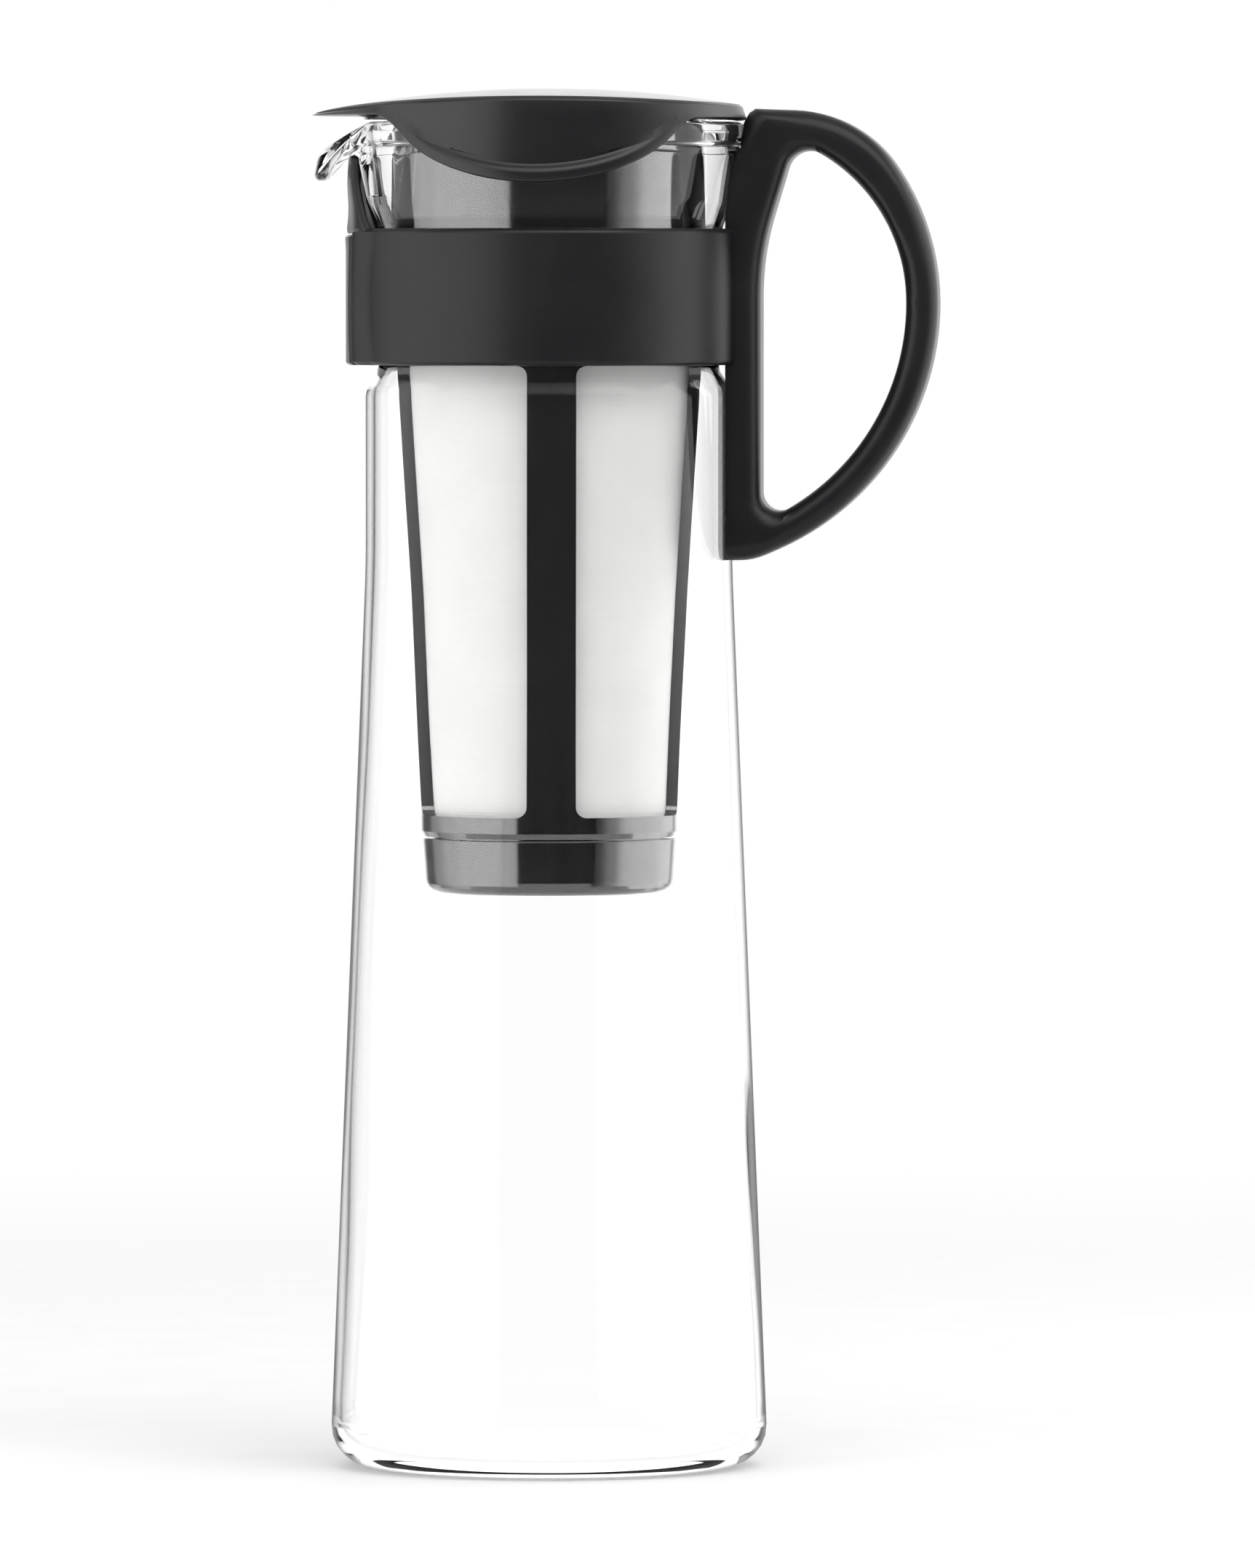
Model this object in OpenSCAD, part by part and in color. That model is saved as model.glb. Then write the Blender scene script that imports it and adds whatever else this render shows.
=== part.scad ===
// Cold brew coffee pitcher: a glass jug with a banded handle, a hanging mesh strainer and a lid.
// The jug stands on the XY plane with its axis on Z. The spout points to -X and the handle to +X.

/* [Glass jug] */
// Height of the glass rim above the table
rim_z = 292.6; // [260:0.1:330]
// Radius at which the tapering side would meet the table
base_r = 47.8; // [42:0.1:54]
// Radius of the rounded heel between side and base
heel_fillet = 8.5; // [5:0.5:11]
// Radius of the straight barrel below the band
barrel_r = 39.9; // [36:0.1:45]
// Length of the straight barrel between taper and shoulder
barrel_h = 37.8; // [20:0.1:60]
// Height of the shoulder between barrel and waist
shoulder_h = 6.2; // [5.5:0.1:9]
// Depth of the waist, which the band clasps, within the barrel
waist_depth = 3.1; // [2.6:0.1:3.8]
// Length of the waist
waist_h = 26.5; // [22:0.5:32]
// Height of the neck from the waist to the rim
neck_h = 26.1; // [23:0.1:30]
// Height of the flare from the waist to the neck
flare_h = 9; // [8:0.5:11]
// How far the flare opens from the waist to the neck
flare_w = 3; // [2.4:0.1:3.6]
// How far the neck opens from the flare to the rim bead
neck_spread = 1.8; // [1.2:0.1:2.4]
// How far the rim bead stands out from the neck
bead_proud = 1.4; // [1:0.1:2]
// Height of the rim bead
bead_h = 4.6; // [4:0.1:5.4]
// Width of the rim bead from outside to inside
bead_w = 3.7; // [3.2:0.1:4.2]
// Thickness of the glass at the barrel and neck
wall = 2; // [1.8:0.1:2.4]
// Thickness of the glass where the side meets the floor
wall_low = 2.2; // [1.8:0.1:4]
// Thickness of the glass floor
floor_t = 3.6; // [3:0.1:7]
// Radius inside the corner between floor and side
floor_fillet = 7; // [5:0.5:12]
// Height of the dished hollow under the base
punt_h = 1.6; // [1:0.1:3]
// Radius of the dished hollow under the base
punt_r = 30; // [24:0.5:34]

/* [Spout] */
// How far the spout's tip stands out past the rim bead
spout_over = 8.3; // [6:0.1:11]
// Drop of the spout's tip below the rim
spout_drop = 12.7; // [11:0.1:14]
// Thickness of the spout's lip
spout_lip_t = 3; // [2.4:0.1:3.4]
// Angle from the spout's middle to where the rim runs true
spout_half_a = 27; // [22:1:32]

/* [Handle band] */
// How far the band stands out past the barrel
band_proud = 2.3; // [1.7:0.1:3.5]
// Thickness of the band's wall
band_t = 2.6; // [2:0.1:3.2]
// Height of the lips that grip the glass above and below
band_lip_h = 3; // [2:0.5:5]
// How far the band runs past each end of the straight waist
band_over = 0.2; // [0:0.1:0.6]
// How far the top of the band stands above the waist
band_rise = 2.9; // [2:0.1:4]
// Rounding of the band's outer edges
band_fillet = 1.2; // [0.5:0.1:2]
// Gap between the band and the glass
band_gap = 0.3; // [0.2:0.05:0.4]
// Width of the split at the front of the band
split_w = 1.2; // [0.8:0.1:2]
// Height of the collar tips above the band
tip_h = 15.9; // [12:0.1:17]
// Thickness of the collar tips
tip_t = 1.7; // [1.4:0.1:2]
// Half width of the notch between the collar tips at their points
notch_half = 9.6; // [9.2:0.1:11]
// Width of each collar tip at its point
tip_w = 4.4; // [3:0.1:6]
// Half width of the pair of collar tips where they leave the band
tip_root_half = 24; // [21:0.5:28]
// How far the collar tips lean out past the band
tip_lean = 1.8; // [1.2:0.1:2.4]

/* [Handle] */
// Width of the handle from side to side
handle_w = 20; // [14:0.5:26]
// Thickness of the bar that lies along the glass
bar_t = 6.6; // [5:0.1:9]
// Width of the finger opening
finger_gap = 31.6; // [26:0.1:38]
// Thickness of the grip
arm_t = 6.9; // [5.5:0.1:9]
// Radius of the lower half of the opening
grip_low_r = 51.6; // [46:0.1:54]
// Radius of the upper half of the opening
grip_up_r = 37.5; // [34:0.1:40]
// How far the bar leans out at the top of the opening
bar_lean = 7.5; // [5:0.1:9]
// Height over which the bar leans out
bar_lean_h = 25; // [20:0.5:30]
// Radius of the grip's outside above its middle
crown_low_r = 53; // [48:0.5:56]
// Radius of the grip's outside near its top
crown_r = 27.5; // [24:0.5:30]
// Rounding of the handle's long edges
handle_fillet = 2.8; // [1.5:0.1:3.2]
// Gap between the lid and the top of the handle
lid_handle_gap = 1.6; // [1:0.1:4]

/* [Band clasp] */
// Half width of the clasp at its ends
clasp_half = 13; // [12.6:0.1:15]
// Depth of the hollow in each side of the clasp
clasp_scallop = 1.6; // [0.8:0.1:1.8]
// Height of the straight stretch at each end of the clasp's sides
clasp_end = 1.6; // [1:0.1:3]
// How far the clasp stands out from the band
clasp_t = 2; // [1.4:0.1:2.6]
// Gap between the top of the clasp and the top of the band
clasp_drop = 1.3; // [0.8:0.1:3]
// Depth of the clasp's seat in the band
seat_depth = 1.6; // [1.2:0.1:1.8]
// Half width of the clasp's seat
seat_half = 11.2; // [10:0.1:11.2]
// Half width of the rails at their foot
rail_foot_half = 5.8; // [4.5:0.1:6.5]
// How far the rails overhang on each side
rail_undercut = 1.5; // [0.8:0.1:2]
// Gap around the rails and the seat
clasp_gap = 0.25; // [0.15:0.05:0.3]
// Height of the finger ridge at the clasp's upper end
ridge_h = 2.4; // [1.5:0.1:4]
// How far the finger ridge stands out
ridge_t = 0.5; // [0.2:0.1:1]

/* [Strainer] */
// Turn of the strainer about the jug's axis
strainer_turn = 5; // [-20:1:20]
// Gap between the strainer's collar and the glass waist
collar_gap = 0.5; // [0.3:0.1:1]
// Thickness of the collar
collar_t = 2; // [1.5:0.1:2.5]
// Length of the straight collar below its flange
collar_h = 29; // [24:0.5:40]
// How far the edge of the flange that hangs on the rim lies within the rim bead
flange_in = 2.1; // [1.6:0.1:2.6]
// Thickness of the flange
flange_t = 1.3; // [1:0.1:2]
// Length of the strainer from flange to base cap
basket_h = 155.6; // [130:0.1:170]
// Step from the collar to the basket at the top of the windows
basket_step = 1; // [0.4:0.1:2]
// Taper of the basket from the top of the windows to their middle
taper_high = 2.9; // [2:0.1:4]
// Taper of the basket from the middle of the windows to its lower end
taper_low = 2.3; // [1.5:0.1:3.5]
// Depth of the windows' upper edge below the flange
window_top = 53.3; // [50:0.1:60]
// Height of the solid ring below the windows
ring_h = 4.7; // [4:0.1:8]
// Width of each rib
rib_w = 10.5; // [7:0.1:14]
// Depth of each rib
rib_t = 2.5; // [2:0.1:3]
// Rounding of the windows' corners
window_fillet = 2.4; // [1:0.1:4]
// Chamfer at the frame's lower edge
groove = 0.6; // [0.3:0.1:1]

/* [Mesh] */
// Thickness of the mesh
mesh_t = 0.4; // [0.3:0.05:0.6]
// How far the mesh runs behind the frame
mesh_lap = 1; // [0.6:0.1:1.4]
// Gap between the mesh and the frame
mesh_gap = 0.06; // [0.04:0.01:0.1]

/* [Strainer base cap] */
// Height of the base cap below its parting line
cap_h = 12; // [9:0.1:16]
// Step of the cap inside the frame's outside
cap_step = 0.3; // [0.1:0.1:0.6]
// Taper of the cap's side
cap_taper = 0.8; // [0.2:0.1:1.5]
// Rounding of the cap's lower edge
cap_fillet = 3; // [1.5:0.1:4]
// Thickness of the cap's floor
cap_floor_t = 2; // [1.5:0.1:3]
// Length of the spigot that enters the frame
spigot_h = 3; // [2:0.1:3.2]
// Thickness of the spigot
spigot_t = 1.4; // [1:0.1:2]
// Gap around the spigot
spigot_gap = 0.1; // [0.05:0.01:0.15]

/* [Lid] */
// Thickness of the lid's top
lid_t = 1.5; // [1.2:0.1:2]
// Height of the crown's top above the glass rim
lid_h = 7.3; // [6.5:0.1:9]
// Radius of the crown's curve from side to side
crown_cross_r = 450; // [300:5:700]
// Slope of the lid's rim, as the step from its foot to its top edge
rim_slope = 0.7; // [0.3:0.1:1]
// Thickness of the lid's rim
lid_rim_t = 1.6; // [1.2:0.1:1.7]
// Width of the ledge by which the lid rests on the strainer's flange
ledge_w = 3.4; // [2:0.1:5]
// How far the bill's tip stands out past the rim bead
bill_over = 8.3; // [6:0.1:11]
// Height of the bill's underside above the glass rim
bill_rise = 1.4; // [1:0.1:1.8]
// Thickness of the bill at its tip
bill_tip_t = 0.5; // [0.3:0.1:1]
// Radius of the bill's rounded tip
bill_tip_r = 9; // [6:0.5:14]
// How far the lid's rim stops short of the front
rim_short = 10; // [7:0.5:15]
// Half width of the side tabs
tab_half = 32.2; // [26:0.1:34]
// How far each end of the side tabs runs out along the rim
tab_tail = 5.8; // [3.5:0.1:8]
// How far the side tabs hang below the rim
tab_drop = 13.4; // [9:0.1:15]
// Thickness of the side tabs
tab_t = 1.7; // [1.4:0.1:2.4]
// Height of the flared edge of the side tabs
tab_flare_h = 2.6; // [2:0.1:4]
// How far the edge of the side tabs flares out
tab_flare = 1.7; // [0.8:0.1:2.4]
// Gap between the plug ring under the lid and the strainer's collar
plug_gap = 0.4; // [0.3:0.1:0.8]
// Thickness of the plug ring
plug_t = 1.6; // [1.2:0.1:2.4]
// Depth of the plug ring below the flange's top
plug_h = 7; // [4:0.5:12]

/* [Fit] */
// Gap between pieces that rest on each other
rest_gap = 0.3; // [0.2:0.05:0.4]
// Gap between the lid's side tabs and the rim bead
tab_gap = 0.5; // [0.4:0.1:1]

/* [Hidden] */
$fn = 96;

// A margin by which cutting shapes run past what they cut
past = 1;

// Heights along the jug, down from the rim
waist_top_z = rim_z - neck_h;
waist_z = waist_top_z - waist_h;
waist_mid_z = waist_z + waist_h / 2;
shoulder_z = waist_z - shoulder_h;
taper_z = shoulder_z - barrel_h;
neck_z = waist_top_z + flare_h;
bead_z = rim_z - bead_h;

// Radii along the jug, from the barrel
waist_r = barrel_r - waist_depth;
waist_in_r = waist_r - wall;
neck_r = waist_r + flare_w;
lip_r = neck_r + neck_spread;
bead_r = lip_r + bead_proud;
spout_reach = bead_r + spout_over;

// The mouth joins the body inside the waist, behind the band, by a tongue within the wall
join_share = 0.6;
join_z = waist_z + join_share * waist_h;
tongue_share = 0.2;
tongue_in = tongue_share * wall;
tongue_h = 3;

// What hangs on the rim
flange_r = bead_r - flange_in;
lid_r = bead_r;
bill_reach = bead_r + bill_over;
flange_z = rim_z + rest_gap;
flange_top_z = flange_z + flange_t;
lid_under_z = flange_top_z + rest_gap;
lid_top_z = rim_z + lid_h;
bill_z = rim_z + bill_rise;

// The band
band_r = barrel_r + band_proud;
band_z = waist_z - band_over;
band_top_z = waist_top_z + band_rise;
seat_r = band_r - seat_depth;

// The strainer
collar_r = waist_in_r - collar_gap;
collar_in_r = collar_r - collar_t;
basket_top_r = collar_r - basket_step;
basket_mid_r = basket_top_r - taper_high;
basket_low_r = basket_mid_r - taper_low;
window_top_z = flange_z - window_top;
frame_z = flange_z - basket_h;
window_z = frame_z + ring_h;
basket_mid_z = (window_top_z + window_z) / 2;
spigot_r = basket_low_r - rib_t - spigot_gap;

// Steps along curves
fillet_steps = 3;
wide_fillet_steps = 6;
arc_steps = 12;

// The point of an outline corner without its fillet radius
function xy(p) = [p[0], p[1]];
function unit(v) = v / norm(v);
function mix(a, b, share) = a + share * (b - a);

// The corner p between the points a and b, rounded to radius r in n steps
function corner(a, p, b, r, n) = r == 0 ? [p] :
    let (u = unit(a - p))
    let (v = unit(b - p))
    let (half = acos(u * v) / 2)
    let (centre = p + unit(u + v) * r / sin(half))
    let (from = p + u * r / tan(half) - centre)
    let (turn = -sign(cross(u, v)) * (180 - 2 * half))
    [for (i = [0:n]) let (t = turn * i / n)
        centre + [from[0] * cos(t) - from[1] * sin(t), from[0] * sin(t) + from[1] * cos(t)]];

// A closed outline from corners given as [x, y, fillet radius, steps]
function rounded(pts) =
    let (m = len(pts))
    [for (i = [0:m - 1])
        let (steps = len(pts[i]) > 3 ? pts[i][3] : fillet_steps)
        each corner(xy(pts[(i + m - 1) % m]), xy(pts[i]), xy(pts[(i + 1) % m]), pts[i][2], steps)];

// A closed skin over rings of points, with the last ring joined to the first
module ring_skin(rings) {
    n = len(rings);
    m = len(rings[0]);
    faces = [for (i = [0:n - 1], j = [0:m - 1])
        let (i2 = (i + 1) % n)
        let (j2 = (j + 1) % m)
        each [[i * m + j, i * m + j2, i2 * m + j2], [i * m + j, i2 * m + j2, i2 * m + j]]];
    polyhedron([for (ring = rings) each ring], faces);
}

// A rectangle with rounded corners, from its lower left corner
module round_rect(w, h, r) {
    translate([r, 0]) square([w - 2 * r, h]);
    translate([0, r]) square([w, h - 2 * r]);
    for (x = [r, w - r], y = [r, h - r]) translate([x, y]) circle(r);
}

// A flat shape drawn in X and Z, made solid along Y and centred on it
module across_y(depth) {
    rotate([90, 0, 0]) linear_extrude(depth, center = true) children();
}

// A flat shape drawn in Y and Z, made solid along X from x
module along_x(x, depth) {
    translate([x, 0, 0]) rotate([90, 0, 90]) linear_extrude(depth) children();
}

// The glass jug
taper_fillet = 300;
shoulder_fillet = 5;
waist_fillet = 4;
flare_fillet = 5;
neck_fillet = 12;
dish_steps = 6;

// Outside of the body from heel to waist, pushed out by gap
function body_side(gap) = [
    [base_r + gap, 0, heel_fillet, wide_fillet_steps],
    [barrel_r + gap, taper_z, taper_fillet],
    [barrel_r + gap, shoulder_z, shoulder_fillet],
    [waist_r + gap, waist_z, waist_fillet]
];

// Inside of the body from waist to floor
body_inside = [
    [waist_in_r, join_z, 0],
    [waist_in_r, waist_z, waist_fillet],
    [barrel_r - wall, shoulder_z, shoulder_fillet],
    [barrel_r - wall, taper_z, taper_fillet],
    [base_r - wall_low, floor_t, floor_fillet, wide_fillet_steps]
];
dish = [for (i = [0:dish_steps]) let (s = i / dish_steps) [punt_r * s, punt_h * (1 - s * s), 0]];

module glass_lower() {
    rotate_extrude() polygon(rounded(concat(
        dish, body_side(0), [[waist_r, join_z, 0]], body_inside, [[0, floor_t, 0]])));
}

// Tongue and neck, the same all round the mouth
mouth_outside = [
    [waist_r - tongue_in, join_z - tongue_h, 0],
    [waist_r - tongue_in, join_z + tongue_in, 0],
    [waist_r, join_z + 2 * tongue_in, 0],
    [waist_r, waist_top_z, flare_fillet],
    [neck_r, neck_z, neck_fillet]
];
mouth_inside = [
    [neck_r - wall, neck_z, neck_fillet],
    [waist_in_r, waist_top_z, flare_fillet],
    [waist_in_r, join_z + 2 * tongue_in, 0],
    [waist_in_r + tongue_in, join_z + tongue_in, 0],
    [waist_in_r + tongue_in, join_z - tongue_h, 0]
];
// Rim bead where the rim runs true
bead_in_r = bead_r - bead_w;
bead_foot = 0.6;
bead_ease = 0.4;
bead_fillet = 1;
bead_side_fillet = 2;
bead_blend = 7;
throat_fillet = 5;
bead_corners = [
    [lip_r, bead_z - bead_foot, bead_fillet],
    [bead_r - bead_ease, bead_z, bead_fillet],
    [bead_r, rim_z - bead_h / 2, bead_side_fillet],
    [bead_r - bead_ease, rim_z - bead_ease, bead_fillet],
    [bead_r - bead_w / 2, rim_z, bead_fillet],
    [bead_in_r, rim_z - bead_foot, bead_fillet],
    [bead_in_r, rim_z - bead_blend, throat_fillet]
];

// The same corners at the middle of the spout, where the lip turns over and hangs
spout_tip_z = rim_z - spout_drop;
spout_in_x = spout_reach - spout_lip_t;
spout_root_drop = 2.4;
spout_root_fillet = 2.2;
spout_under_in = 1.5;
spout_under_h = 3.6;
spout_under_fillet = 2.5;
spout_edge_fillet = 1.2;
spout_hook_in = 1;
spout_hook_h = 5.8;
spout_crest_in = 1.5;
spout_crest_drop = 0.9;
spout_crest_fillet = 4;
throat_in = 0.5;
spout_corners = [
    [lip_r, bead_z - spout_root_drop, spout_root_fillet],
    [spout_in_x - spout_under_in, spout_tip_z + spout_under_h, spout_under_fillet],
    [spout_in_x, spout_tip_z, spout_edge_fillet],
    [spout_reach, spout_tip_z, spout_edge_fillet],
    [spout_reach - spout_hook_in, spout_tip_z + spout_hook_h, throat_fillet],
    [bead_r - spout_crest_in, rim_z - spout_crest_drop, spout_crest_fillet],
    [bead_in_r - throat_in, rim_z - bead_blend - bead_foot, throat_fillet]
];
rim_loop = rounded(concat(mouth_outside, bead_corners, mouth_inside));
spout_loop = rounded(concat(mouth_outside, spout_corners, mouth_inside));

// Angles round the mouth from the spout, closer together across the spout
spout_steps = 26;
rim_steps = 36;
rim_span = 360 - 2 * spout_half_a;
mouth_angles = concat(
    [for (i = [0:spout_steps - 1]) spout_half_a * (2 * i / spout_steps - 1)],
    [for (i = [0:rim_steps - 1]) spout_half_a + rim_span * i / rim_steps]);
function spout_share(a) = abs(a) < spout_half_a ? pow(cos(90 * a / spout_half_a), 2) : 0;
mouth_rings = [for (a = mouth_angles)
    let (share = spout_share(a))
    [for (k = [0:len(rim_loop) - 1])
        let (p = mix(rim_loop[k], spout_loop[k], share))
        [-p[0] * cos(a), -p[0] * sin(a), p[1]]]];

module glass_body() color([0.86, 0.9, 0.9, 0.35]) {
    glass_lower();
    ring_skin(mouth_rings);
}

// The space that the glass takes up, with the gap that the band leaves round it
module glass_room() {
    rotate_extrude() polygon(rounded(concat(
        [[0, 0, 0]], body_side(band_gap),
        [[waist_r + band_gap, waist_top_z, flare_fillet]],
        [[neck_r + band_gap, neck_z, neck_fillet]],
        [[lip_r + band_gap, bead_z - bead_foot - band_gap, 0]],
        [[bead_r + band_gap, bead_z - band_gap, 0]],
        [[bead_r + band_gap, rim_z + band_gap, 0]],
        [[0, rim_z + band_gap, 0]])));
}

// The handle band
band_core_r = waist_r - past;
front_block_a = 24;
tip_top_z = band_top_z + tip_h;
tip_sink = 2;

module band_ring() {
    rotate_extrude() polygon(rounded([
        [band_core_r, band_z, 0],
        [band_r, band_z, band_fillet],
        [band_r, band_top_z, band_fillet],
        [band_core_r, band_top_z, 0]]));
}

// The hollow behind the band's wall, left solid behind the clasp
module band_hollow() {
    hollow_r = band_r - band_t;
    rotate([0, 0, 180 + front_block_a]) rotate_extrude(angle = 360 - 2 * front_block_a)
        translate([band_core_r - past, band_z + band_lip_h])
            square([hollow_r - band_core_r + past, band_top_z - band_z - 2 * band_lip_h]);
}

// One collar tip as seen from the front, on the side of +Y
tip_notch_fillet = 0.8;
tip_back_fillet = 1.6;
tip_flank_w = 3.6;
tip_flank_share = 0.5;
tip_flank_fillet = 12;
tip_root_fillet = 3;
tip_outline = [
    [split_w, band_top_z - tip_sink, 0],
    [split_w, band_top_z, 0],
    [notch_half, tip_top_z, tip_notch_fillet],
    [notch_half + tip_w, tip_top_z, tip_back_fillet],
    [notch_half + tip_w + tip_flank_w, band_top_z + tip_flank_share * tip_h, tip_flank_fillet],
    [tip_root_half, band_top_z, tip_root_fillet],
    [tip_root_half, band_top_z - tip_sink, 0]
];

// How the collar tips lean out above the band
tip_set = 0.2;
tip_lean_share = 0.55;
tip_lean_fillet = 20;

module collar_tips() {
    lean_r = band_r + tip_lean;
    intersection() {
        rotate_extrude() polygon(rounded([
            [band_r - tip_set - tip_t, band_top_z - tip_sink, 0],
            [band_r - tip_set, band_top_z - tip_sink, 0],
            [lean_r, band_top_z + tip_lean_share * tip_h, tip_lean_fillet],
            [lean_r, tip_top_z, 0],
            [lean_r - tip_t, tip_top_z, 0]]));
        for (side = [0, 1]) mirror([0, side, 0])
            along_x(-lean_r - past, lean_r) polygon(rounded(tip_outline));
    }
}

// Corners of the finger opening, from the lower one at the bar
bar_x = barrel_r + bar_t;
opening_x = bar_x + finger_gap;
reach_x = opening_x + arm_t;
turn_low = 60;
turn_up = 60;
opening_foot_fillet = 4;
opening_top_fillet = 5;
bar_lean_fillet = 60;
foot_steps = 3;
top_steps = 4;
lean_steps = 4;
crown_low_steps = 3;
crown_top_steps = 4;
opening_top = [bar_x + bar_lean,
    waist_mid_z + grip_up_r * tan(turn_up / 2) + (finger_gap - bar_lean) / tan(turn_up)];
opening = rounded([
    [bar_x, waist_mid_z - grip_low_r * tan(turn_low / 2) - finger_gap / tan(turn_low),
        opening_foot_fillet, foot_steps],
    [opening_x, waist_mid_z - grip_low_r * tan(turn_low / 2), grip_low_r, arc_steps],
    [opening_x, waist_mid_z + grip_up_r * tan(turn_up / 2),
        grip_up_r, crown_low_steps + crown_top_steps + 1],
    [opening_top[0], opening_top[1], opening_top_fillet, top_steps],
    [bar_x, opening_top[1] - bar_lean_h, bar_lean_fillet, lean_steps]
]);

// Corners of the handle's outside, matched to the opening's corners one for one
root_x = waist_r - past;
bar_slant = 1.65;
grip_out_r = grip_low_r + arm_t;
turn_out = 74;
turn_crown = 33;
crown_rise = 0.8;
out_low = [reach_x, waist_mid_z - grip_out_r * tan(turn_out / 2)];
out_foot = [root_x, out_low[1] - (reach_x - root_x) / tan(turn_out)];
out_up = [reach_x, waist_mid_z + crown_low_r * tan(turn_crown / 2)];
crown_len = crown_low_r * tan(turn_crown / 2) + crown_r * tan((90 - turn_crown) / 2);
out_crown = out_up + crown_len * [-sin(turn_crown), cos(turn_crown)];
bar_top = [lid_r + lid_handle_gap, out_crown[1] + crown_rise];
root_top = [root_x, bar_top[1] - bar_slant * (bar_top[0] - root_x)];

grip_outside = concat(
    corner(out_foot, out_low, out_up, grip_out_r, arc_steps),
    corner(out_low, out_up, out_crown, crown_low_r, crown_low_steps),
    corner(out_up, out_crown, bar_top, crown_r, crown_top_steps));
grip_start = grip_outside[0];
grip_end = grip_outside[len(grip_outside) - 1];
foot_rise = 8;
foot_share = 0.35;
foot_points = concat(
    [out_foot + [0, foot_rise]],
    [for (i = [0:foot_steps - 1]) mix(out_foot, grip_start, i * foot_share)]);
top_ease = 0.8;
slant_shares = [0.06, 0.4, 1];
top_points = concat(
    [(grip_end + bar_top) / 2, bar_top + [top_ease, 0]],
    [for (share = slant_shares) mix(bar_top, root_top, share)]);
lean_start = len(foot_points) + len(grip_outside) + len(top_points);
bar_points = [for (i = [lean_start:len(opening) - 1]) [root_x, opening[i][1]]];
outside = concat(foot_points, grip_outside, top_points, bar_points);

// A cross-section of the handle between the points a and b, with its long edges rounded
edge_steps = 4;
edge_share = 0.45;
function handle_section(a, b) =
    let (t = norm(b - a))
    let (d = unit(b - a))
    let (r = min(handle_fillet, edge_share * t))
    let (flat = handle_w / 2 - r)
    [for (k = [0:3], i = [0:edge_steps])
        let (angle = 90 * (k + i / edge_steps))
        let (s = (k == 0 || k == 3 ? t - r : r) + r * cos(angle))
        let (y = (k < 2 ? flat : -flat) + r * sin(angle))
        [a[0] + d[0] * s, y, a[1] + d[1] * s]];

module handle_loop() {
    ring_skin([for (i = [len(opening) - 1:-1:0]) handle_section(opening[i], outside[i])]);
}

// The handle with its bar hollowed to lie along barrel and neck, and cut back round the rim bead
module handle() {
    notch_z = bead_z - 2 * band_gap;
    bar_r = max(barrel_r, neck_r) + band_gap;
    foot_z = out_foot[1] - past;
    top_z = bar_top[1] + past;
    difference() {
        handle_loop();
        rotate_extrude() polygon([
            [0, foot_z],
            [bar_r, foot_z],
            [bar_r, neck_z],
            [lip_r + band_gap, notch_z],
            [bead_r + band_gap, notch_z],
            [bead_r + band_gap, top_z],
            [0, top_z]]);
    }
}

// Cross-section of the pair of rails that the clasp holds, grown by gap on their sides
module rails(gap) {
    spread = rail_undercut / seat_depth;
    foot_half = rail_foot_half - spread * past + gap;
    head_half = rail_foot_half + rail_undercut + spread * past + gap;
    polygon([
        [-seat_r + past, -foot_half],
        [-seat_r + past, foot_half],
        [-band_r - past, head_half],
        [-band_r - past, -head_half]]);
}

// Cross-section of a ring's front part, from r1 to r2 and half wide either side
module ring_front(r1, r2, half) {
    intersection() {
        difference() {
            circle(r2);
            circle(r1);
        }
        translate([-r2, -half]) square([r2, 2 * half]);
    }
}

clasp_top_z = band_top_z - clasp_drop;
module clasp_seat() {
    translate([0, 0, band_z - past]) linear_extrude(clasp_top_z + clasp_gap - band_z + past)
        difference() {
            ring_front(seat_r, band_r + past, seat_half);
            rails(0);
        }
}

module handle_band() color([0.13, 0.13, 0.14]) {
    difference() {
        union() {
            band_ring();
            collar_tips();
        }
        glass_room();
        band_hollow();
        clasp_seat();
        translate([-band_r - clasp_t - past, -split_w / 2, band_z - past])
            cube([band_r, split_w, tip_top_z - band_z + 2 * past]);
    }
    handle();
}

// The band clasp
module band_clasp() color([0.12, 0.12, 0.13]) {
    clasp_r = band_r + clasp_t;
    length = clasp_top_z - band_z;
    chord = length - 2 * clasp_end;
    scallop_r = (chord * chord / 4 + clasp_scallop * clasp_scallop) / (2 * clasp_scallop);
    difference() {
        union() {
            translate([0, 0, band_z]) linear_extrude(length) {
                difference() {
                    ring_front(seat_r + clasp_gap, band_r + 2 * clasp_gap, seat_half - clasp_gap);
                    rails(clasp_gap);
                }
                ring_front(band_r + clasp_gap, clasp_r, clasp_half);
            }
            translate([0, 0, clasp_top_z - ridge_h]) linear_extrude(ridge_h)
                ring_front(clasp_r - clasp_t / 2, clasp_r + ridge_t, clasp_half);
        }
        for (side = [-1, 1])
            translate([-clasp_r, side * (clasp_half - clasp_scallop + scallop_r), band_z + length / 2])
                rotate([0, 90, 0]) cylinder(h = 2 * clasp_half, r = scallop_r, center = true);
    }
}

// The strainer
// Outside of the basket from the windows' top to its lower edge, moved in by depth
function basket_side(depth) = [
    [basket_top_r - depth, window_top_z, 0],
    [basket_mid_r - depth, basket_mid_z, 0],
    [basket_low_r - depth, window_z, 0]
];

module window_space(gap) {
    half = rib_w / 2 + gap;
    w = collar_r - half;
    h = window_top_z - window_z - 2 * gap;
    intersection() {
        translate([0, w / 2 + half, 0]) across_y(w)
            translate([half, window_z + gap]) round_rect(w + past, h, window_fillet);
        along_x(half, w + past)
            translate([half, window_z + gap]) round_rect(w + past, h, window_fillet);
    }
}

flange_fillet = 0.5;
collar_fillet = 1;

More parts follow.
